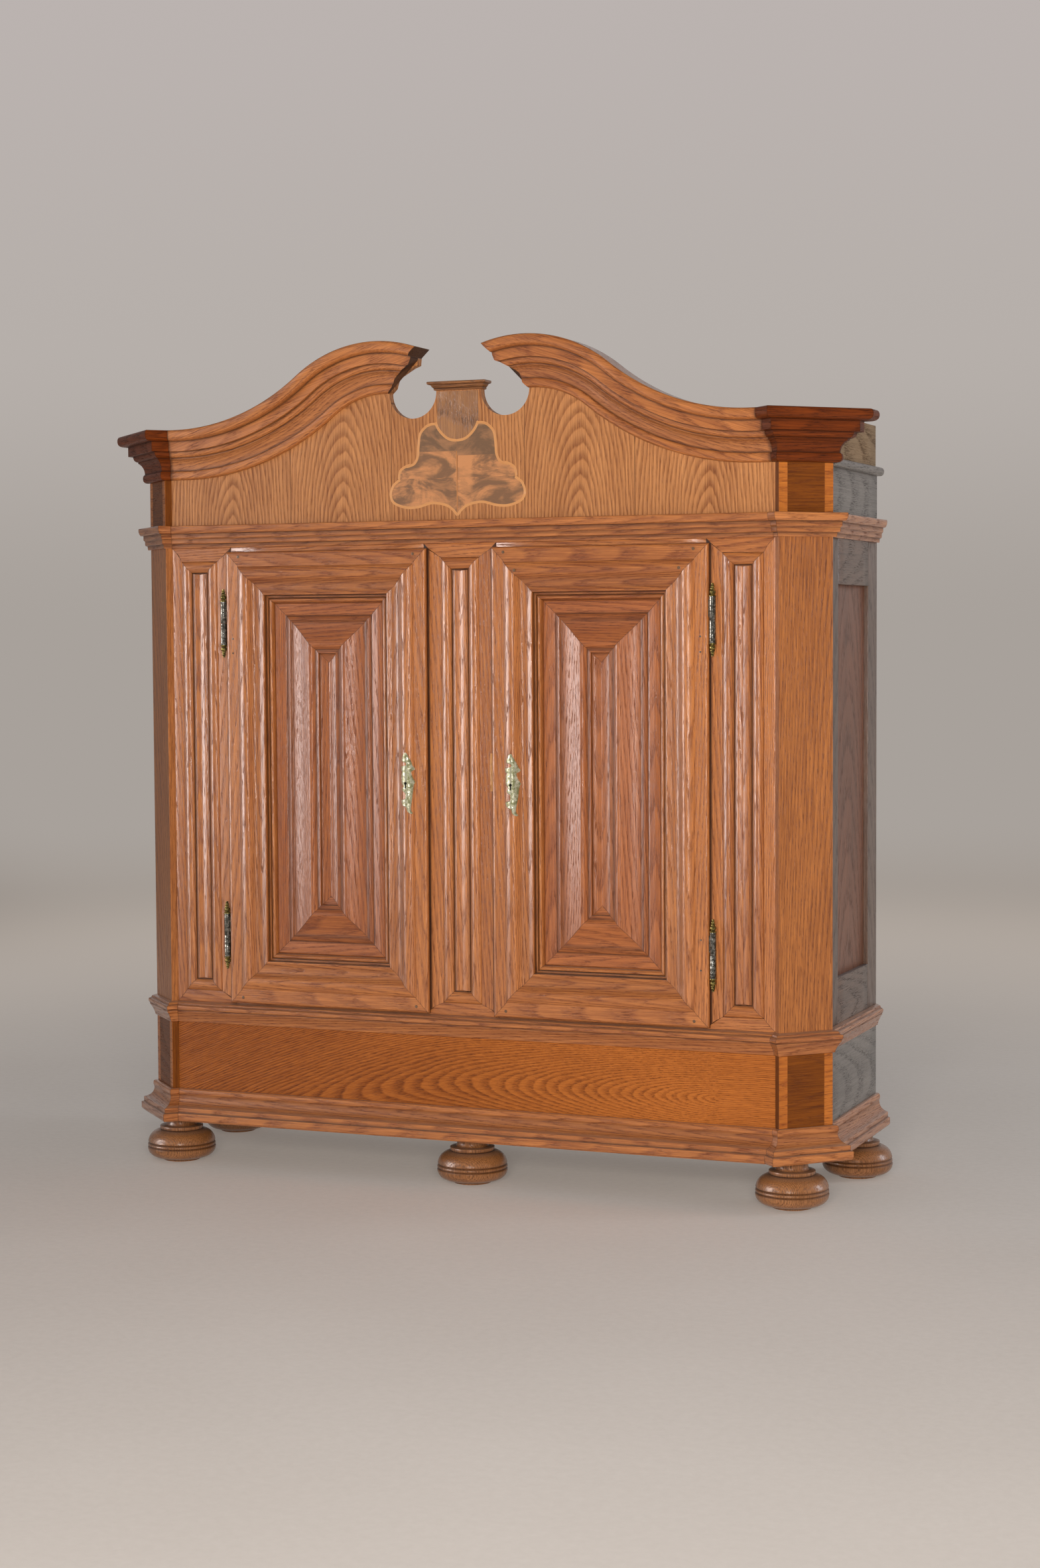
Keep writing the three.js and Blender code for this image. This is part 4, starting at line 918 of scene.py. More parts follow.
# The door's outer rectangle, and that of the moulding inside its frame
def doorBoxes(sign):
    edges = sorted([sign * (lisene["middleHalf"] - overlap), sign * (outerEdge + overlap)])
    lip = box(*edges, doorLow, doorHigh)
    return lip, inset(lip, door["stileFace"], door["railFace"])[0]


# The outer edge of the lip is dark with dirt, down to where it lies on the case
def doorFrameShells(lip, moulded):
    inner = inset(moulded, bolection["rebate"])[0]
    body = inset(lip, door["lip"])[0]
    rounding = tracePoints(lipShares, door["lipRound"], door["proud"])
    boxes = np.concatenate([[lip], inset(lip, rounding[:, 0]), [inner, inner, body, body]])
    boxes, heights = fineFrame(boxes, np.array([
        door["clearance"], *rounding[:, 1], door["proud"], -door["depth"], -door["depth"],
        door["clearance"],
    ]))
    edge = 1 - (heights - door["clearance"]) / (0.8 * door["proud"])
    edge = np.where(boxes[:, 0] - lip[0] < door["lipRound"], np.clip(edge, 0, 1), 0)
    return mitredFrame(boxes, heights, dirt=edge, **doorBoards)


# The bolection lies over the frame's inner edge with its seat, and reaches down to the panel
def bolectionShells(moulded):
    top, bottom = door["proud"] + case["seat"], -bolection["foot"]
    tongue = bolection["rebate"] + case["seat"]
    outline = fineOutline(np.concatenate([
        [[0, top]], bolectionFace[1:],
        [[bolection["width"], bottom], [tongue, bottom], [tongue, top]],
    ]))
    return mitredFrame(inset(moulded, outline[:, 0]), outline[:, 1], **doorBoards)


# The raised panel, whose border sits under the bolection
def doorPanelShells(moulded):
    first, ground = bolection["rebate"] + case["seat"], -bolection["foot"] - case["seat"]
    face = tracePoints(doorPanelShares, panel["width"], panel["height"])
    return panelMembers(moulded, fineOutline(np.concatenate([
        [[first, -door["depth"]], [first, ground]], face + [bolection["width"], 0],
        [[bolection["width"] + panel["width"], -door["depth"]]],
    ])))


for side, sign in bothSides:
    lip, moulded = doorBoxes(sign)
    turning = {"body": f"door_{side}"}
    addPiece(f"doorFrame.{side}", doorFrameShells(lip, moulded), oak, **turning)
    addPiece(f"doorBolection.{side}", bolectionShells(moulded), oak, **turning)
    addPiece(f"doorPanel.{side}", doorPanelShells(moulded), panelOak, **turning)
print("doors made")

# Hinges: the lower half with its pin stays on the case, the upper half turns with the door

hinge = {
    "lipGap": 10, "y": -10, "radius": 8.5, "pinRadius": 2.9, "pinHeight": 52, "barrelHalf": 60,
    "finial": 35, "leaf": 2.5, "leafLow": 8, "leafGap": 5.7, "fixedLeaf": 26, "doorLeaf": 24,
    "upper": 1533, "lower": 660,
}
finialShares = [
    [1, 0], [1.12, 0.02], [1.12, 0.08], [0.98, 0.11], [0.7, 0.13, 0.6, 0.19],
    [0.98, 0.22, 0.98, 0.34], [0.96, 0.46, 0.6, 0.49], [0.55, 0.53], [0.76, 0.55],
    [0.76, 0.61], [0.42, 0.64], [0.62, 0.67, 0.6, 0.76], [0.56, 0.83, 0.34, 0.86],
    [0.46, 0.89, 0.4, 0.98],
]
# Share of the radius, and height down from the barrel's end, of two turned grooves
grooves = [[1, 12], [0.9, 11.4], [0.9, 10.4], [1, 9.8], [1, 5], [0.9, 4.4], [0.9, 3.4],
           [1, 2.8], [1, 0]]
hingeX = outerEdge + overlap + hinge["lipGap"]


# Barrel from the split to the finial
def barrelShell(x, middle, way):
    half = hinge["barrelHalf"]
    rows = [[0.96, 0.5], [1, 1.2]] + [[share, half - down] for share, down in grooves]
    outline = toAxis(np.array(rows) * [hinge["radius"], 1], 0.5, half)
    return turned(outline * [1, way] + [0, middle], x, hinge["y"], 40)


# The finial on the barrel's end, turned over for the lower half
def finialShell(x, middle, way):
    face = tracePoints(finialShares, hinge["radius"], hinge["finial"], 6)
    outline = toAxis(face, 0, hinge["finial"]) * [1, way]
    return turned(outline + [0, middle + way * hinge["barrelHalf"]], x, hinge["y"], 40)


for side, sign in bothSides:
    for where in ("upper", "lower"):
        x, middle = sign * hingeX, hinge[where]
        high, low, thick = hinge["pinHeight"], hinge["leafLow"], hinge["leaf"] / 2
        pin = turned(toAxis([[hinge["pinRadius"], 0], [hinge["pinRadius"], high]], 0, high)
                     + [0, middle], x, hinge["y"], 24)
        fixedLeaf = plank([x - thick, hinge["y"] + hinge["leafGap"], middle - high],
                          [x + thick, hinge["y"] + hinge["fixedLeaf"], middle - low],
                          2, frontSide, ease=0.4)
        addPiece(f"hingePin.{side}.{where}", [barrelShell(x, middle, -1), pin, fixedLeaf],
                 darkMetal, "dark_iron")
        addPiece(f"hingePinFinial.{side}.{where}", [finialShell(x, middle, -1)], finialMetal,
                 "old_brass")
        doorLeaf = plank([x - sign * hinge["doorLeaf"], hinge["y"] - thick, middle + low],
                         [x - sign * hinge["leafGap"], hinge["y"] + thick, middle + high],
                         2, frontSide, ease=0.4)
        addPiece(f"hingeBarrel.{side}.{where}", [barrelShell(x, middle, 1), doorLeaf],
                 darkMetal, "dark_iron", f"door_{side}")
        addPiece(f"hingeBarrelFinial.{side}.{where}", [finialShell(x, middle, 1)],
                 finialMetal, "old_brass", f"door_{side}")
print("hinges made")

# Locks behind the doors, and pierced escutcheons bent over the crest of the bolection

lock = {"level": 1096, "width": 100, "height": 90, "thickness": 24, "edgeGap": 4,
        "plate": 3, "rim": 4, "slideway": 16, "boltLength": 70, "boltHeight": 24,
        "boltThickness": 8, "boltSetback": 9.5}
escutcheon = {"inset": 22, "height": 166, "rows": 132, "columns": 17, "relief": 2.6,
              "ripple": 0.35, "ripples": 9.5, "front": 0.6, "back": 0.25}
keyhole = {"radius": 4, "slotHalf": 2.3, "slotDepth": 13, "rim": 1.2}
# Edges of the escutcheon by height: share of half the height, left and right edge
escutcheonEdges = np.array([
    [1.0, -2, 3], [0.97, -7, 4], [0.92, -9, 6], [0.85, -11, 9], [0.78, -14, 12],
    [0.735, -14, 14], [0.7, -11, 15.5], [0.68, 0, 16], [0.59, 1.5, 18], [0.566, -9, 19],
    [0.545, -17, 20], [0.48, -18, 24], [0.44, -18, 22], [0.4, -16, 16.5], [0.38, -12, 15],
    [0.34, -14, 15], [0.28, -16, 16], [0.167, -16.5, 19], [0.066, -16.5, 23],
    [0.023, -15.5, 24], [-0.01, -14, 22], [-0.05, -11, 21], [-0.11, -8, 20.5],
    [-0.14, -11, 20], [-0.2, -13, 19.5], [-0.26, -11, 19], [-0.29, -5, 19],
    [-0.325, -1.5, 18.5], [-0.49, -1, 17], [-0.53, -7, 16.5], [-0.545, -15.5, 16],
    [-0.59, -17.5, 15.5], [-0.64, -16.5, 15], [-0.72, -13.5, 14], [-0.755, -7, 13.5],
    [-0.775, 0, 13.5], [-0.84, 2.5, 13], [-0.907, 3.5, 14], [-0.95, 6, 17.5],
    [-0.985, 10, 18], [-1.0, 13.5, 16.5],
])


# A plate between its left and right edges, rows down and columns across, front and back. It
# follows the crest, and domes as the root of one minus its place across squared. Both doors
# have the same casting, which is not mirrored.
def escutcheonShell(centreX, sign):
    up = np.linspace(1, -1, escutcheon["rows"])
    table = escutcheonEdges[::-1]
    left, right = (np.interp(up, table[:, 0], table[:, k])[:, None] for k in (1, 2))
    share = np.linspace(0, 1, escutcheon["columns"])[None]
    x = left + (right - left) * share
    z = lock["level"] + np.broadcast_to(up[:, None] * escutcheon["height"] / 2, x.shape)
    crest = np.interp(x * sign + escutcheon["inset"], *bolectionFace.T)
    rim = 1 - (2 * share - 1) ** 2
    ripple = np.sin(escutcheon["ripples"] * up * np.pi)[:, None] * rim
    relief = escutcheon["relief"] * np.sqrt(np.clip(rim, 0, 1)) + escutcheon["ripple"] * ripple
    faces = [np.stack([centreX + x, -y, z], axis=-1)
             for y in (crest + escutcheon["front"] + relief, crest + escutcheon["back"])]
    rings = np.concatenate([faces[0], faces[1][:, ::-1]], axis=1)
    return ringShell(rings, boardGrain(rings, upSide, frontSide))


# A keyhole: a round bow with a slot below it
def keyholeOutline(x, grow):
    angle = np.linspace(-math.radians(60), math.radians(240), 22)
    radius, half = keyhole["radius"] + grow, keyhole["slotHalf"] + grow
    low = lock["level"] - keyhole["slotDepth"] - grow
    bow = np.column_stack([x + radius * np.cos(angle), lock["level"] + radius * np.sin(angle)])
    return np.concatenate([bow, [[x - half, low], [x + half, low]]])


# The piece less the cutter, which is then gone
def cutWith(piece, cutter):
    bpy.context.view_layer.update()
    change = piece.modifiers.new("cut", "BOOLEAN")
    change.operation, change.solver, change.object = "DIFFERENCE", "EXACT", cutter
    graph = bpy.context.evaluated_depsgraph_get()
    cut = bpy.data.meshes.new_from_object(piece.evaluated_get(graph), depsgraph=graph)
    piece.modifiers.clear()
    piece.data = cut
    bpy.data.objects.remove(cutter)


for side, sign in bothSides:
    body = f"door_{side}"
    lip, moulded = doorBoxes(sign)
    keyX = (moulded[0] if sign > 0 else moulded[1]) + sign * escutcheon["inset"]
    casting = addPiece(f"escutcheon.{side}", [escutcheonShell(keyX, sign)], escutcheonMetal,
                       "old_brass", body)
    cutWith(casting, addShells(f"cutter.{side}", [plate(keyholeOutline(keyX, 0), -60, 0)],
                               keyholeBlack))
    lining = plate(keyholeOutline(keyX, keyhole["rim"]), -bolection["height"] - 0.5,
                   -bolection["height"] + 4)
    addPiece(f"keyhole.{side}", [lining], keyholeBlack, "dark_iron", body)
    edge = (lip[0] if sign > 0 else lip[1]) + sign * (door["lip"] + lock["edgeGap"])
    low, high = sorted([edge, edge + sign * lock["width"]])
    front, half, rim = door["depth"] + case["seat"], lock["height"] / 2, lock["rim"]
    shells = [plank([low, front, lock["level"] - half],
                    [high, front + lock["plate"], lock["level"] + half], 2, -frontSide)]
    for depth, under, over in ((2.9, rim - half, -14), (2.9, 14, half - rim),
                               (18.4, -lock["slideway"], lock["slideway"])):
        shells.append(plank([low + rim, front + depth, lock["level"] + under],
                            [high - rim, front + lock["thickness"], lock["level"] + over],
                            2, -frontSide, ease=2))
    addPiece(f"lockCase.{side}", shells, iron, "dark_iron", body)
    back, half = front + lock["boltSetback"], lock["boltHeight"] / 2
    addPiece(f"lockBolt.{side}", [plank(
        [edge, back, lock["level"] - half],
        [edge + sign * lock["boltLength"], back + lock["boltThickness"], lock["level"] + half],
        0, frontSide, ease=0.8,
    )], iron, "dark_iron", f"bolt_{side}")
print("locks made")

# Sides: a frame round a plain sunk panel

sideFrame = {"frontStile": 87, "rearStile": 93, "bottomRail": 122, "topRail": 120,
             "recess": 12, "thickness": 9, "lap": 8, "ease": 1.6}
y1, y2 = case["cornerCut"] + sideFrame["frontStile"], case["depth"] - sideFrame["rearStile"]
z1 = level["body"] + sideFrame["bottomRail"]
z2 = level["architrave"] - sideFrame["topRail"]
whole = (level["sill"], level["frieze"])
between = (y1 + 0.15, y2 - 0.15)
for side, sign in bothSides:
    addPiece(f"sideFrame.{side}", [
        wallBoard(sign, y, z, axis, figure, ease=sideFrame["ease"]) for y, z, axis, figure in (
            ((behindCorner, y1), whole, 2, "half"), ((y2, case["depth"]), whole, 2, "half"),
            (between, (whole[0], z1), 1, "figured"), (between, (z2, whole[1]), 1, "figured"),
        )
    ], fadedOak)
    face = sign * (case["sidePlane"] - sideFrame["recess"])
    lap = sideFrame["lap"]
    addPiece(f"sidePanel.{side}", [
        plank([face, y1 - lap, z1 - lap],
              [face - sign * sideFrame["thickness"], y2 + lap, z2 + lap],
              2, rightSide * sign, "figured"),
    ], sideOak)
print("sides made")

# Inside: floor, top, shelves and back

shelves = {"frontY": 60, "lower": 400, "upper": 820, "housing": 5}
backInner = case["depth"] - case["back"]
backWidths = np.array([236, 242, 228, 250, 244, 232, 246, 250])


# Outline of a board inside the case, clear of the corner planks
def innerOutline(frontY, sideX):
    clear = case["seat"] * math.sqrt(2)
    half = np.array([
        [case["frontHalf"] + (frontY - case["wall"]) - clear, frontY],
        [sideX, case["cornerCut"] + (sideX - case["innerSide"]) + clear], [sideX, backInner],
    ])
    return np.concatenate([half, (half * [-1, 1])[::-1]])


shelfX = case["innerSide"] + shelves["housing"]
for name, frontY, sideX, low in (
    ("caseFloor", case["wall"], case["innerSide"], level["body"] - case["board"]),
    ("caseTop", case["wall"], case["innerSide"], level["frieze"] - case["board"]),
    ("shelfLower", shelves["frontY"], shelfX, level["body"] + shelves["lower"]),
    ("shelfUpper", shelves["frontY"], shelfX, level["body"] + shelves["upper"]),
):
    outline = fineOutline(innerOutline(frontY, sideX), 1.2)
    rings = np.stack([planRing(outline, z)
                      for z in (low, low + case["board"] / 2, low + case["board"])])
    addPiece(name, [ringShell(rings, boardGrain(rings, rightSide, upSide, "half"))], rawOak,
             "inner_oak")
shares = np.concatenate([[0], np.cumsum(backWidths / backWidths.sum())])
edges = -case["innerSide"] + shares * 2 * case["innerSide"]
addPiece("backBoards", [
    plank([edges[k] + 0.4, backInner, baseLow],
          [edges[k + 1] - 0.4, case["depth"], level["cornice"]], 2, -frontSide,
          random.choice(["figured", "half"]))
    for k in range(len(backWidths))
], rawOak, "inner_oak", node="back_panel")
print("inside made")

# Architrave, and the swan necks: level, a hollow bend, then a round bend up to a sawn end

architrave = {"projection": 28.9, "height": level["frieze"] - level["architrave"]}
architraveShares = [
    [0.24, 0], [0.29, 0.18], [0.38, 0.185], [0.46, 0.2, 0.474, 0.258], [0.474, 0.387],
    [0.606, 0.468], [0.606, 0.645], [0.81, 0.66], [0.97, 0.73, 1, 0.9], [1, 1, 0.917, 1],
]
addPiece("architrave", wrapped(
    architraveShares, architrave["projection"], architrave["height"], level["architrave"],
), oak)
cornice = {"projection": 75, "height": 135}
corniceShares = [
    [0.05, 0], [0.22, 0, 0.22, 0.1], [0.22, 0.18, 0.157, 0.185], [0.16, 0.33, 0.32, 0.411],
    [0.36, 0.426], [0.36, 0.452], [0.5, 0.46, 0.52, 0.57], [0.667, 0.578], [0.667, 0.778],
    [0.827, 0.785], [1, 0.8, 1, 0.911], [1, 0.985, 0.933, 1],
]
neck = {"flatEnd": 831, "peak": 215, "rise": 216, "hollowShare": 0.615, "crownDepth": 30,
        "board": 25}
# Share of the way in from the round cut-out to the tip, and share of the way up
neckEndShares = [
    [0, 0], [0.128, 0.12], [0.156, 0.22], [0.2, 0.33], [0.294, 0.4], [0.615, 0.575],
    [0.77, 0.63], [0.79, 0.81], [1, 1],
]
cutout = {"centre": 134.5, "rise": 81, "radius": 69.5, "plinthHalf": 65, "plinthRise": 83,
          "tip": 95}
run = neck["flatEnd"] - neck["peak"]
bendSum = (run**2 + neck["rise"] ** 2) / (2 * neck["rise"])
hollowRadius = bendSum * neck["hollowShare"]
roundRadius = bendSum - hollowRadius
bendAngle = math.asin(run / bendSum)
roundCentre = level["crown"] + neck["rise"] - roundRadius
tipRise = math.sqrt(roundRadius**2 - (cutout["tip"] - neck["peak"]) ** 2)
tip = np.array([cutout["tip"], roundCentre + tipRise])
cutStart = np.array([cutout["centre"] + cutout["radius"], level["crown"] + cutout["rise"]])
sawnEnd = cutStart + np.array(neckEndShares) * (tip - cutStart)
sawnReach = np.linalg.norm(sawnEnd - [neck["peak"], roundCentre], axis=1)


# Points along the neck for lines at several depths under its crown. The stations are the first
# axis and the depths the second; in a bend a point lies at the radius's sine and cosine.
def neckLines(depth, startX, flatSteps=5, hollowSteps=26, roundSteps=30):
    depth = np.asarray(depth, float)
    t = np.linspace(0, 1, flatSteps)[:-1, None]
    flatZ = np.broadcast_to(level["crown"] - depth, (flatSteps - 1, len(depth)))
    flat = np.stack([startX + (neck["flatEnd"] - startX) * t, flatZ], axis=-1)
    angle = np.linspace(0, bendAngle, hollowSteps)[:-1, None]
    reach = hollowRadius + depth[None]
    hollow = np.stack([neck["flatEnd"] - reach * np.sin(angle),
                       level["crown"] + hollowRadius - reach * np.cos(angle)], axis=-1)
    reach = roundRadius - depth
    sawnX, sawnZ = (np.interp(reach, sawnReach, sawnEnd[:, k]) for k in (0, 1))
    last = np.arctan2(sawnX - neck["peak"], sawnZ - roundCentre)
    angle = bendAngle + (last[None] - bendAngle) * np.linspace(0, 1, roundSteps)[:, None]
    bend = np.stack([neck["peak"] + reach[None] * np.sin(angle),
                     roundCentre + reach[None] * np.cos(angle)], axis=-1)
    return np.concatenate([flat, hollow, bend])


# Closed outline of the cornice: projection and height, its crown reaching back over the board
face = tracePoints(corniceShares, cornice["projection"], cornice["height"], 8)
underCrown = cornice["height"] - neck["crownDepth"]
corniceOutline = fineOutline(np.concatenate([face, [
    [-neck["board"], cornice["height"]], [-neck["board"], underCrown],
    [case["seat"], underCrown], [case["seat"], 0],
]]), 0.7)
corniceCavity = cavityOf(corniceOutline)


# The neck's ends are filled with triangles, and the sawn one is dark
def neckShell():
    outline = corniceOutline
    mitre = 0.4142 * outline[:, 0]
    lines = neckLines(cornice["height"] - outline[:, 1],
                      case["frontHalf"] - mitre - case["seat"])
    rings = np.stack([lines[..., 0], np.broadcast_to(-outline[:, 0], lines.shape[:2]),
                      lines[..., 1]], axis=-1)
    index, quads = ringFaces(rings)
    fill = np.array(tessellate_polygon([[Vector((*point, 0)) for point in outline]]))
    blocks = [(quads, 0), (fill[:, ::-1], 0), (fill + index[-1, 0], 1)]
    points = rings.reshape(-1, 3)
    grain = boardGrain(points, np.array([-0.95, 0, 0.3]), frontSide, "half")
    seamDirt = np.exp(-np.arange(len(rings)) / 0.6) * 0.8
    dirt = np.maximum(corniceCavity[None], seamDirt[:, None]).ravel()
    return closedShell(points, blocks, grain, dirt, -0.3)


neckRight = neckShell()
addPiece("neckCornice.right", [neckRight], [oak, endOak])
addPiece("neckCornice.left", [mirrored(neckRight)], [oak, endOak])

# Pediment board: its top follows the necks at the crown's depth, then the cut-outs and plinth
depthOfBoard = neck["crownDepth"] + case["seat"]
boardTop = neckLines([depthOfBoard], case["frontHalf"])[:, 0]
below = sawnEnd[sawnReach < roundRadius - depthOfBoard][::-1]
arc = np.linspace(0, -np.pi, 40)[1:-1]
arcPoints = np.column_stack([cutout["centre"] + cutout["radius"] * np.cos(arc),
                             cutStart[1] + cutout["radius"] * np.sin(arc)])
plinthTop = level["crown"] + cutout["plinthRise"]
boardHalf = np.concatenate([
    [[case["frontHalf"] - 0.2, level["frieze"]]], boardTop, below, arcPoints,
    [[cutout["plinthHalf"], cutStart[1]], [cutout["plinthHalf"], plinthTop]],
])


# Grain upright, measured from the middle of the cupboard and the foot of the board
def leafGrain(rings):
    return fromCentre(rings, [0, 0, level["frieze"]])[:, [2, 0, 1]]


addPiece("tympanum", [plate(np.concatenate([boardHalf, (boardHalf * [-1, 1])[::-1]]), 0,
                            neck["board"], tone=0.0, grain=leafGrain)],
         leafOak, "oak_veneer")

cap = {"projection": 20, "height": 23.5, "ease": 0.8}
capShares = [
    [0, 0], [0.3, 0.02, 0.3, 0.16], [0.25, 0.24], [0.45, 0.34, 0.6, 0.62], [0.85, 0.66],
    [1, 0.74], [1, 0.95], [0.94, 1],
]


# Cap on the plinth, moulded on three sides: a rectangle with two cut corners at each height
def capShell():
    face = tracePoints(capShares, cap["projection"], cap["height"], 8)
    out, ease = face[:, 0], cap["ease"]
    half = cutout["plinthHalf"] + out
    back = np.full(len(out), float(neck["board"]))
    z = plinthTop + face[:, 1]
    rings = np.stack([np.column_stack([x, y, z]) for x, y in (
        (-half + ease, -out), (half - ease, -out), (half, ease - out), (half, back),
        (-half, back), (-half, ease - out),
    )], axis=1)
    closed = [[-cap["projection"], cap["height"]], [-cap["projection"], 0]]
    dirt = cavityOf(np.concatenate([face, closed]))[:len(face)]
    return ringShell(rings, boardGrain(rings, rightSide, frontSide), np.repeat(dirt, 6), -0.2)


addPiece("pedimentCap", [capShell()], darkOak, "dark_oak")

# Corner cornice over the right pilaster: its return, its face and the stump of the side
# cornice, which is sawn off askew, further back the further out it lies
stump = {"length": 62, "least": 0.3}
places, _ = mitrePlaces(np.concatenate([[[0, 0]], planRight]), corniceOutline[:, 0])
corniceUp = (level["cornice"] + corniceOutline[:, 1])[:, None]
cornerRings = [np.hstack([places[k], corniceUp]) for k in (1, 2, 3)]
stumpRing = cornerRings[2].copy()
stumpOut = np.maximum(corniceOutline[:, 0], stump["least"])
stumpRing[:, 1] += stump["length"] * stumpOut / cornice["projection"]
cornerShells = [
    member(cornerRings[0], cornerRings[1], np.array([-0.7071, -0.7071, 0]), corniceCavity,
           figure="half", tone=-0.2),
    member(cornerRings[1], cornerRings[2], np.array([0.7071, -0.7071, 0]), corniceCavity,
           figure="half", tone=-0.2),
    member(cornerRings[2], stumpRing, rightSide, corniceCavity, (1, 0), "half", -0.6,
           along=[0, 1, 0], endMaterial=1),
]
addPiece("cornerCornice.right", cornerShells, [cornerOak, endOak], "dark_oak")
addPiece("cornerCornice.left", [mirrored(shell) for shell in cornerShells],
         [cornerOak, endOak], "dark_oak")

# Frieze: corner blocks, side boards with the astragal left on them, and the raw board above

astragal = {"height": 24, "projection": 20, "drop": 8, "depth": 12, "overlap": 6}
sideAstragalShares = [[0, 0], [0.5, 0], [1, 0.1, 1, 0.55], [0.95, 1, 0.3, 1]]
ground = {"height": 114, "setback": 4, "overlap": 10}
astragalLow = level["cornice"] - astragal["drop"]
groundLow = astragalLow + astragal["height"]
face = tracePoints(sideAstragalShares, astragal["projection"], astragal["height"])
closed = fineOutline(np.concatenate([face, [[-astragal["depth"], astragal["height"]],
                                            [-astragal["depth"], 0]]]))
for side, sign in bothSides:
    cornerBlock("friezeCorner", side, level["frieze"], level["crown"] - depthOfBoard,
                level["frieze"] + cornerFace["margin"], level["cornice"] - cornerFace["margin"])
    addPiece(f"friezeSide.{side}", [
        wallBoard(sign, (behindCorner, case["depth"]),
                  (level["frieze"], astragalLow + astragal["overlap"]), 1, "figured"),
    ], greyOak)
    ends = [np.column_stack([sign * (case["sidePlane"] + closed[:, 0]),
                             np.full(len(closed), y), astragalLow + closed[:, 1]])
            for y in (behindCorner, case["depth"])]
    addPiece(f"friezeAstragal.{side}", [
        member(*ends, rightSide * sign, cavityOf(closed), (0, 0), gap=0),
    ], greyOak)
    addPiece(f"friezeGround.{side}", [
        wallBoard(sign, (case["cornerCut"] + 0.4, case["depth"]),
                  (groundLow - ground["overlap"], groundLow + ground["height"]), 1, "half",
                  case["sidePlane"] - ground["setback"]),
    ], rawOak)
print("cornices and frieze made")

# Inlay of the pediment: the ribbon, the burr leaves inside it and the dark field on the plinth

# Right half of the ribbon's middle line in four curves: distance from the middle and height
ribbonCurves = [
    [[0, 2018], [22, 2022], [40, 2034], [55, 2052], [62, 2068]],
    [[58, 2064], [76, 2063], [92, 2056], [108, 2037], [113, 2003], [115, 1979], [126, 1959],
     [149, 1951]],
    [[138, 1956], [149, 1953], [162, 1946], [169, 1936], [171.5, 1919]],
    [[168, 1917], [180, 1909], [189, 1900], [196, 1877.5], [186, 1855], [150, 1842],
     [115, 1843], [73, 1852.7], [34, 1846.5], [12.5, 1833], [0, 1818]],
]
inlay = {"middle": -6.0, "joint": 1919.0, "ribbonWidth": 7, "ribbonProud": 0.3, "step": 0.04,
         "leftStep": 0.02, "leafApart": 0.09, "leafProud": 0.12, "leafGap": 0.1,
         "plinthProud": 0.1, "depth": 0.2}
onMiddle = [inlay["middle"], 0]


# Smooth line through given points: each span is a cubic through its ends, with the slope at a
# point half the step between its neighbours
def smoothLine(points, steps=8):
    points = np.asarray(points, float)
    padded = np.concatenate([[2 * points[0] - points[1]], points,
                             [2 * points[-1] - points[-2]]])
    slope = (padded[2:] - padded[:-2]) / 2
    t = np.linspace(0, 1, steps, endpoint=False)[None, :, None]
    a, b, m, n = points[:-1, None], points[1:, None], slope[:-1, None], slope[1:, None]
    curve = ((2 * t**3 - 3 * t**2 + 1) * a + (t**3 - 2 * t**2 + t) * m
             + (-2 * t**3 + 3 * t**2) * b + (t**3 - t**2) * n)
    return np.concatenate([curve.reshape(-1, 2), points[-1:]])


# A flat ribbon along a line in x and z, thinner at its two ends
def ribbonShell(line, width, yFront, yBack=0.3):
    slope = np.gradient(line, axis=0)
    slope /= np.linalg.norm(slope, axis=1)[:, None]
    half = np.full(len(line), width / 2)
    half[[0, -1]] *= 0.75
    aside = np.column_stack([-slope[:, 1], slope[:, 0]]) * half[:, None]
    rings = np.stack([
        np.column_stack([edge[:, 0], np.full(len(line), y), edge[:, 1]])
        for edge, y in ((line + aside, yBack), (line + aside, yFront), (line - aside, yFront),
                        (line - aside, yBack))
    ], axis=1)
    steps = np.linalg.norm(np.diff(line, axis=0), axis=1)
    lengths = np.concatenate([[0], np.cumsum(steps)])
    grain = np.zeros((len(line), 4, 3))
    grain[..., 0] = lengths[:, None] * millimetre + random.uniform(0, 9)
    grain[..., 1] = np.array([-1, -1, 1, 1])[None] * half[:, None] * millimetre + 0.06
    return ringShell(rings, grain.reshape(-1, 3))


# Where two curves overlap, each lies a little further out than the last
ribbonShells, cartouche = [], [np.zeros((1, 2))]
for k, curve in enumerate(ribbonCurves):
    line = smoothLine(curve)
    further = line[:, 0] > cartouche[-1][-1, 0]
    cartouche.append(line[further] if k < 3 else line[np.argmax(line[:, 0] > 172):])
    for sign in (1, -1):
        front = -inlay["ribbonProud"] - inlay["step"] * k - (inlay["leftStep"] if sign < 0 else 0)
        ribbonShells.append(ribbonShell(line * [sign, 1] + onMiddle, inlay["ribbonWidth"],
                                        front))
addPiece("inlayRibbon", ribbonShells, ribbonWood, "oak_veneer")
cartouche = np.concatenate(cartouche[1:])


# The part of an outline between two heights: points on the far side of each line are cut away
def betweenLevels(outline, low, high):
    for way, limit in ((1, low), (-1, -high)):
        kept = []
        for here, after in zip(outline, np.roll(outline, -1, axis=0)):
            a, b = way * here[1] - limit, way * after[1] - limit
            if a >= 0:
                kept.append(here)
            if a * b < 0:
                kept.append(here + (after - here) * a / (a - b))
        outline = np.array(kept)
    return outline


# Points that lie on the one before are left out
def apart(outline, least=0.02):
    return outline[np.linalg.norm(outline - np.roll(outline, 1, axis=0), axis=1) > least]


# Place on the cartouche, from the joint of its four lower leaves; each leaf comes from another
# depth of the burr
def burrGrain(rings, depth):
    flat = fromCentre(rings, [inlay["middle"], 0.0, inlay["joint"]])
    return np.column_stack([flat[:, 0], flat[:, 2], np.full(len(flat), depth)])


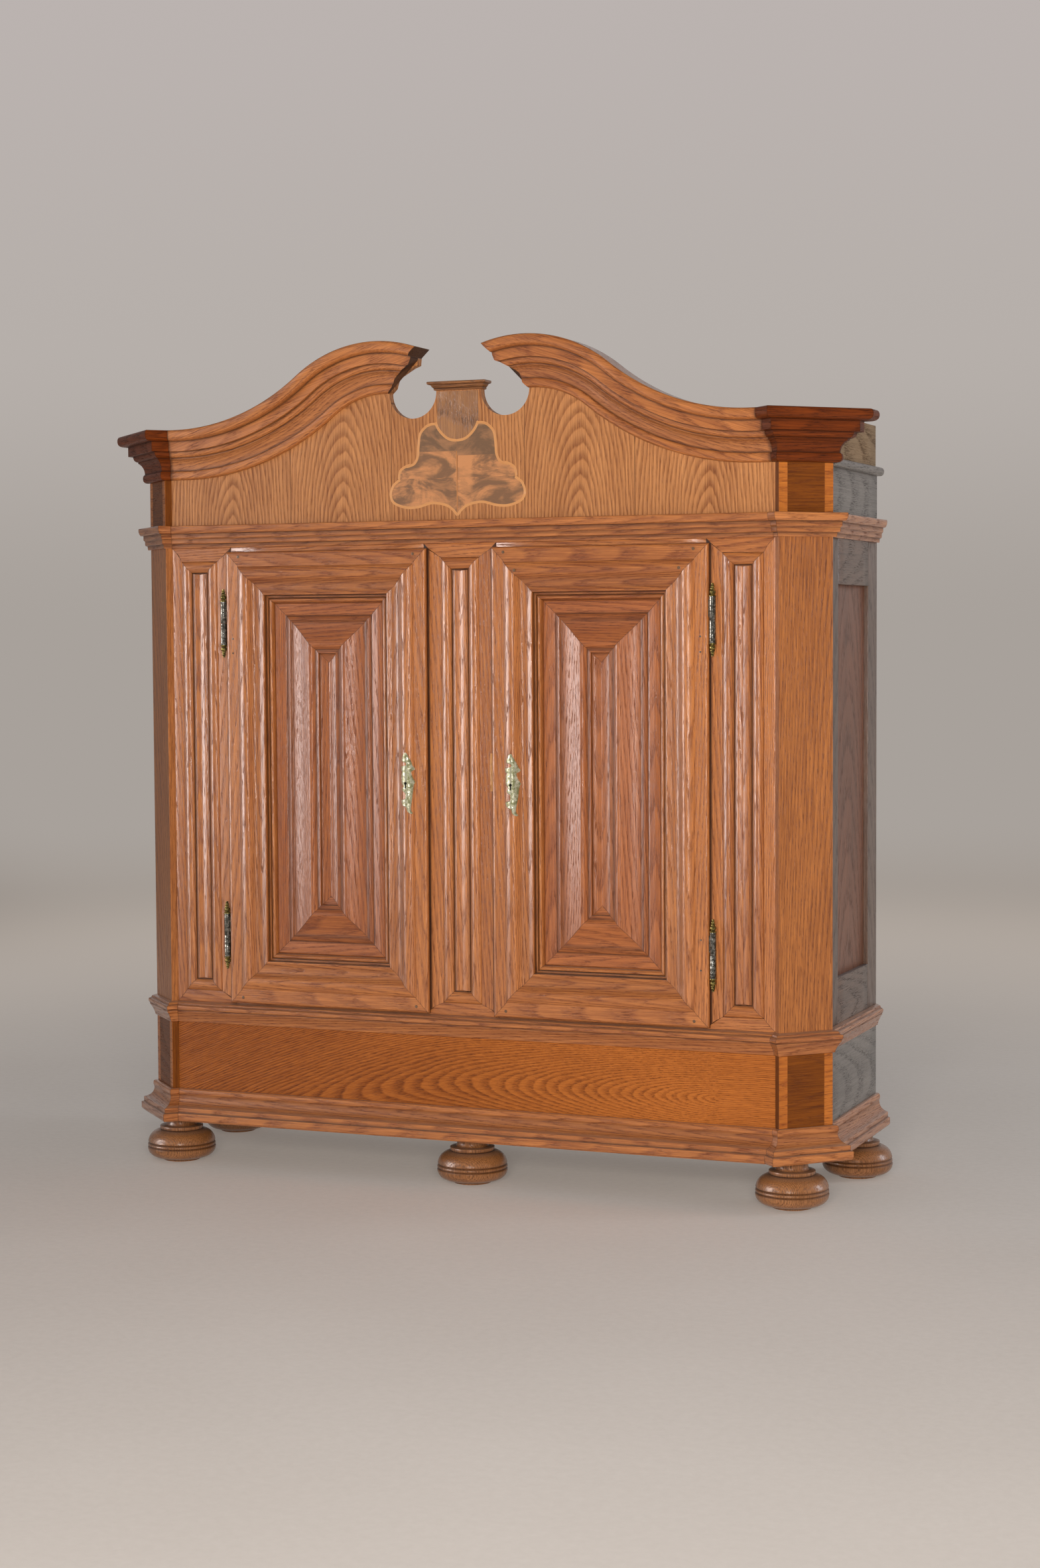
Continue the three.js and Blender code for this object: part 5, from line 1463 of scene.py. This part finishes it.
for k, (low, high, material, sign) in enumerate((
    (1978, 2070, darkBurr, 1), (1990, 2070, darkBurr, -1), (1919, 1990, burrWood, -1),
    (1919, 1978, burrWood, 1), (1800, 1919, burrWood, 1), (1800, 1919, burrWood, -1),
)):
    leaf = betweenLevels(cartouche, low + inlay["leafGap"], high - inlay["leafGap"])
    leaf = leaf[leaf[:, 0] > 0.2]
    leaf = np.concatenate([leaf, [[0.15, leaf[-1, 1]], [0.15, leaf[0, 1]]]]) * [sign, 1]
    grain = partial(burrGrain, depth=inlay["leafApart"] * k)
    addPiece(f"inlayLeaf.{k + 1}", [
        plate(apart(leaf + onMiddle), -inlay["leafProud"], inlay["depth"], grain=grain),
    ], material, "oak_veneer")
collar = smoothLine([[0, 2018], [22, 2022], [40, 2034], [55, 2052], [60, 2066]])
field = np.concatenate([collar, [[60, 2150]]])
field = np.concatenate([field, (field * [-1, 1])[::-1]]) + [inlay["middle"] * 0.5, 0]
addPiece("inlayPlinth", [
    plate(apart(field), -inlay["plinthProud"], inlay["depth"], "figured"),
], walnut, "oak_veneer")
print("inlay made")

# Pegs and nails in the doors: distance from the middle, height, and how proud the wood is there

peg = {"radius": 4.2, "dome": 0.25, "right": [
    (132, 1717, 15.4), (664, 1717, 15.4), (168, 1668, 26), (628, 1668, 26), (132, 486, 15.4),
    (664, 486, 15.4),
], "left": [(132, 1717, 15.4), (664, 1717, 15.4), (132, 486, 15.4), (664, 486, 15.4)]}
nail = {"radius": 2.4, "dome": 0.7, "right": [
    (683, 1490, 15.6), (683, 1450, 15.6), (683, 700, 15.6), (683, 620, 15.6),
], "left": [(683, 1490, 15.6), (683, 1450, 15.6)]}


# A round head that stands out of the face by its dome
def headShell(x, z, height, radius, dome):
    rows = np.array([[0.01, -3], [radius, -3], [radius, 0], [radius * 0.8, dome * 0.7],
                     [0.01, dome]])
    angle = np.linspace(0, 2 * np.pi, 20, endpoint=False)
    points = np.stack([x + rows[:, :1] * np.cos(angle),
                       np.broadcast_to(-height - rows[:, 1:], (5, 20)),
                       z + rows[:, :1] * np.sin(angle)], axis=-1)
    return ringShell(points, boardGrain(points, frontSide, upSide), 0.2)


for side, sign in bothSides:
    for name, head, material, slot in (("pegs", peg, pegOak, "waxed_oak"),
                                       ("nails", nail, nailIron, "dark_iron")):
        addPiece(f"{name}.door_{side}", [
            headShell(sign * x, z, height, head["radius"], head["dome"])
            for x, z, height in head[side]
        ], material, slot, f"door_{side}")
print("pegs and nails made")

# Floor: a wide disc of pale concrete. Near the cupboard it takes light and shadow; further out
# it turns into the backdrop's own colour, so that it has no edge. Light Path keeps that for
# what is seen straight, in a reflection or through glass.

floor = {"radius": 40.0, "sides": 96}


# 1 for rays from the camera and for reflected and transmitted ones
def seenRays(add):
    rays = add("LightPath", output=None)
    direct = add("Math MAXIMUM", rays["Is Camera Ray"], rays["Is Glossy Ray"])
    return add("Math MAXIMUM", direct, rays["Is Transmission Ray"])


# The room is darker on the side of the camera and on the far left; the direction has length one
def roomShade(add, direction, colour):
    x, y, _ = add("SeparateXYZ", direction, output=None)
    front = add("MapRange SMOOTHSTEP", y, -0.75, 0.1, 0.72, 0.0)
    left = add("MapRange SMOOTHSTEP", x, -0.95, -0.6, 0.7, 0.0)
    return add("Mix RGBA", add("Math MAXIMUM", front, left), colour, srgb("3e3a37"))


# Matt near the cupboard, and further out a glow of the backdrop's own colour
def floorPaint():
    material = bpy.data.materials.new("pale concrete floor")
    add = startNodes(material)
    spot = add("TexCoord", output="Object")
    away = add("VectorMath LENGTH", spot)
    cloud, specks = noise(add, spot, (1.1,) * 3, 3.0), noise(add, spot, (45,) * 3, 3.0, 0.7)
    shade = add("Math MULTIPLY_ADD", cloud, 0.5, add("Math MULTIPLY", specks, 0.5))
    near = add("Mix RGBA", shade, srgb("d8cec4"), srgb("faf2ea"))
    far = add("Mix RGBA", add("MapRange SMOOTHSTEP", away, 3.0, 14.0), srgb("9f958c"),
              srgb("a8a19b"))
    far = roomShade(add, add("VectorMath NORMALIZE", spot), far)
    front = add("Mix RGBA", add("MapRange SMOOTHSTEP", away, 3.5, 9.0), srgb("bbb1a8"), far)
    matt = add("BsdfPrincipled", {"Base Color": near, "Roughness": 0.9,
                                  "Specular IOR Level": 0.0})
    share = add("Math MULTIPLY", seenRays(add),
                add("MapRange SMOOTHSTEP", away, 1.0, 7.0, 0.3, 1.0))
    glow = add("Emission", front, 1.0)
    add("OutputMaterial", add("MixShader", share, matt, glow), output=None)
    return material


angle = np.linspace(0, 2 * np.pi, floor["sides"], endpoint=False)
rim = np.column_stack([np.cos(angle), np.sin(angle), np.zeros(len(angle))]) * floor["radius"]
floorMesh = bpy.data.meshes.new("floor")
floorMesh.from_pydata(rim.tolist(), [], [list(range(len(rim)))])
floorMesh.materials.append(floorPaint())
floorObject = bpy.data.objects.new("floor", floorMesh)
bpy.context.scene.collection.objects.link(floorObject)
print("floor made")

# Light: a key near the camera and at its height that lights but is not mirrored, a large one
# far to the left and a thin one in front that are only mirrored, for the highlights on the
# mouldings and the lines on the metal, and a cool one on the right for the sheen of the side.
# Each has a place, what it points at, a width and height, a power and a colour.

middleOfFront = (0, 0, 1.15)
lamps = {
    "softBoxKey": ((2.7, -6.85, 1.8), middleOfFront, (2.4, 1.8), 400, (1.0, 0.95, 0.9)),
    "softBoxLeft": ((-6.9, -4.7, 2.1), middleOfFront, (3.3, 4.6), 470, (1.0, 0.93, 0.91)),
    "softBoxThin": ((1.5, -6.0, 1.4), middleOfFront, (0.3, 2.2), 60, (1.0, 0.98, 0.96)),
    "softBoxRight": ((5.2, 1.8, 1.6), (0.9, 0.2, 1.1), (1.4, 2.4), 62, (0.86, 0.92, 1.0)),
}
for name, (position, target, size, power, colour) in lamps.items():
    light = bpy.data.lights.new(name, "AREA")
    light.shape, light.size, light.size_y = "RECTANGLE", *size
    light.energy, light.color = power, colour
    lamp = bpy.data.objects.new(name, light)
    lamp.location = position
    lamp.rotation_mode = "QUATERNION"
    lamp.rotation_quaternion = (Vector(target) - Vector(position)).to_track_quat("-Z", "Y")
    lamp.visible_camera = False
    lamp.visible_glossy = name != "softBoxKey"
    lamp.visible_diffuse = name not in ("softBoxLeft", "softBoxThin")
    bpy.context.scene.collection.objects.link(lamp)
print("lamps made:", len(lamps))

# The world: the backdrop's colour by the height of the view for what is seen, and a plain grey
# for the light that it gives

world = bpy.data.worlds.new("studio")
add = startNodes(world)
direction = add("TexCoord", output="Generated")
climb = add("SeparateXYZ", direction, output=2)
colour = srgb("a8a19b")
for low, high, code in ((0.0, 0.11, "b6afaa"), (0.09, 0.25, "bbb3b0"), (0.25, 0.9, "6f6a67")):
    colour = add("Mix RGBA", add("MapRange SMOOTHSTEP", climb, low, high), colour, srgb(code))
colour = roomShade(add, direction, colour)
colour = add("Mix RGBA", seenRays(add), srgb("7d7f84"), colour)
add("OutputWorld", add("Background", colour, 1.0), output=None)
bpy.context.scene.world = world

# Camera where the photograph was taken

view = {"position": (2.80865, -6.71851, 1.50343), "yaw": 22.1558, "pitch": -3.3155,
        "roll": -0.3401, "sensor": 36, "lens": 90.68, "near": 0.1, "far": 60}
yaw, pitch, roll = (math.radians(view[key]) for key in ("yaw", "pitch", "roll"))
forward = Vector((-math.sin(yaw) * math.cos(pitch), math.cos(yaw) * math.cos(pitch),
                  math.sin(pitch)))
levelRight = Vector((math.cos(yaw), math.sin(yaw), 0))
right = math.cos(roll) * levelRight + math.sin(roll) * levelRight.cross(forward)
up = right.cross(forward)
cameraData = bpy.data.cameras.new("camera")
cameraData.sensor_fit, cameraData.sensor_width = "HORIZONTAL", view["sensor"]
cameraData.lens = view["lens"]
cameraData.clip_start, cameraData.clip_end = view["near"], view["far"]
camera = bpy.data.objects.new("camera", cameraData)
camera.matrix_world = Matrix((*zip(right, up, -forward, view["position"]), (0, 0, 0, 1)))
bpy.context.scene.collection.objects.link(camera)
bpy.context.scene.camera = camera
bpy.context.scene.view_settings.view_transform = "Standard"
print("world and camera made")
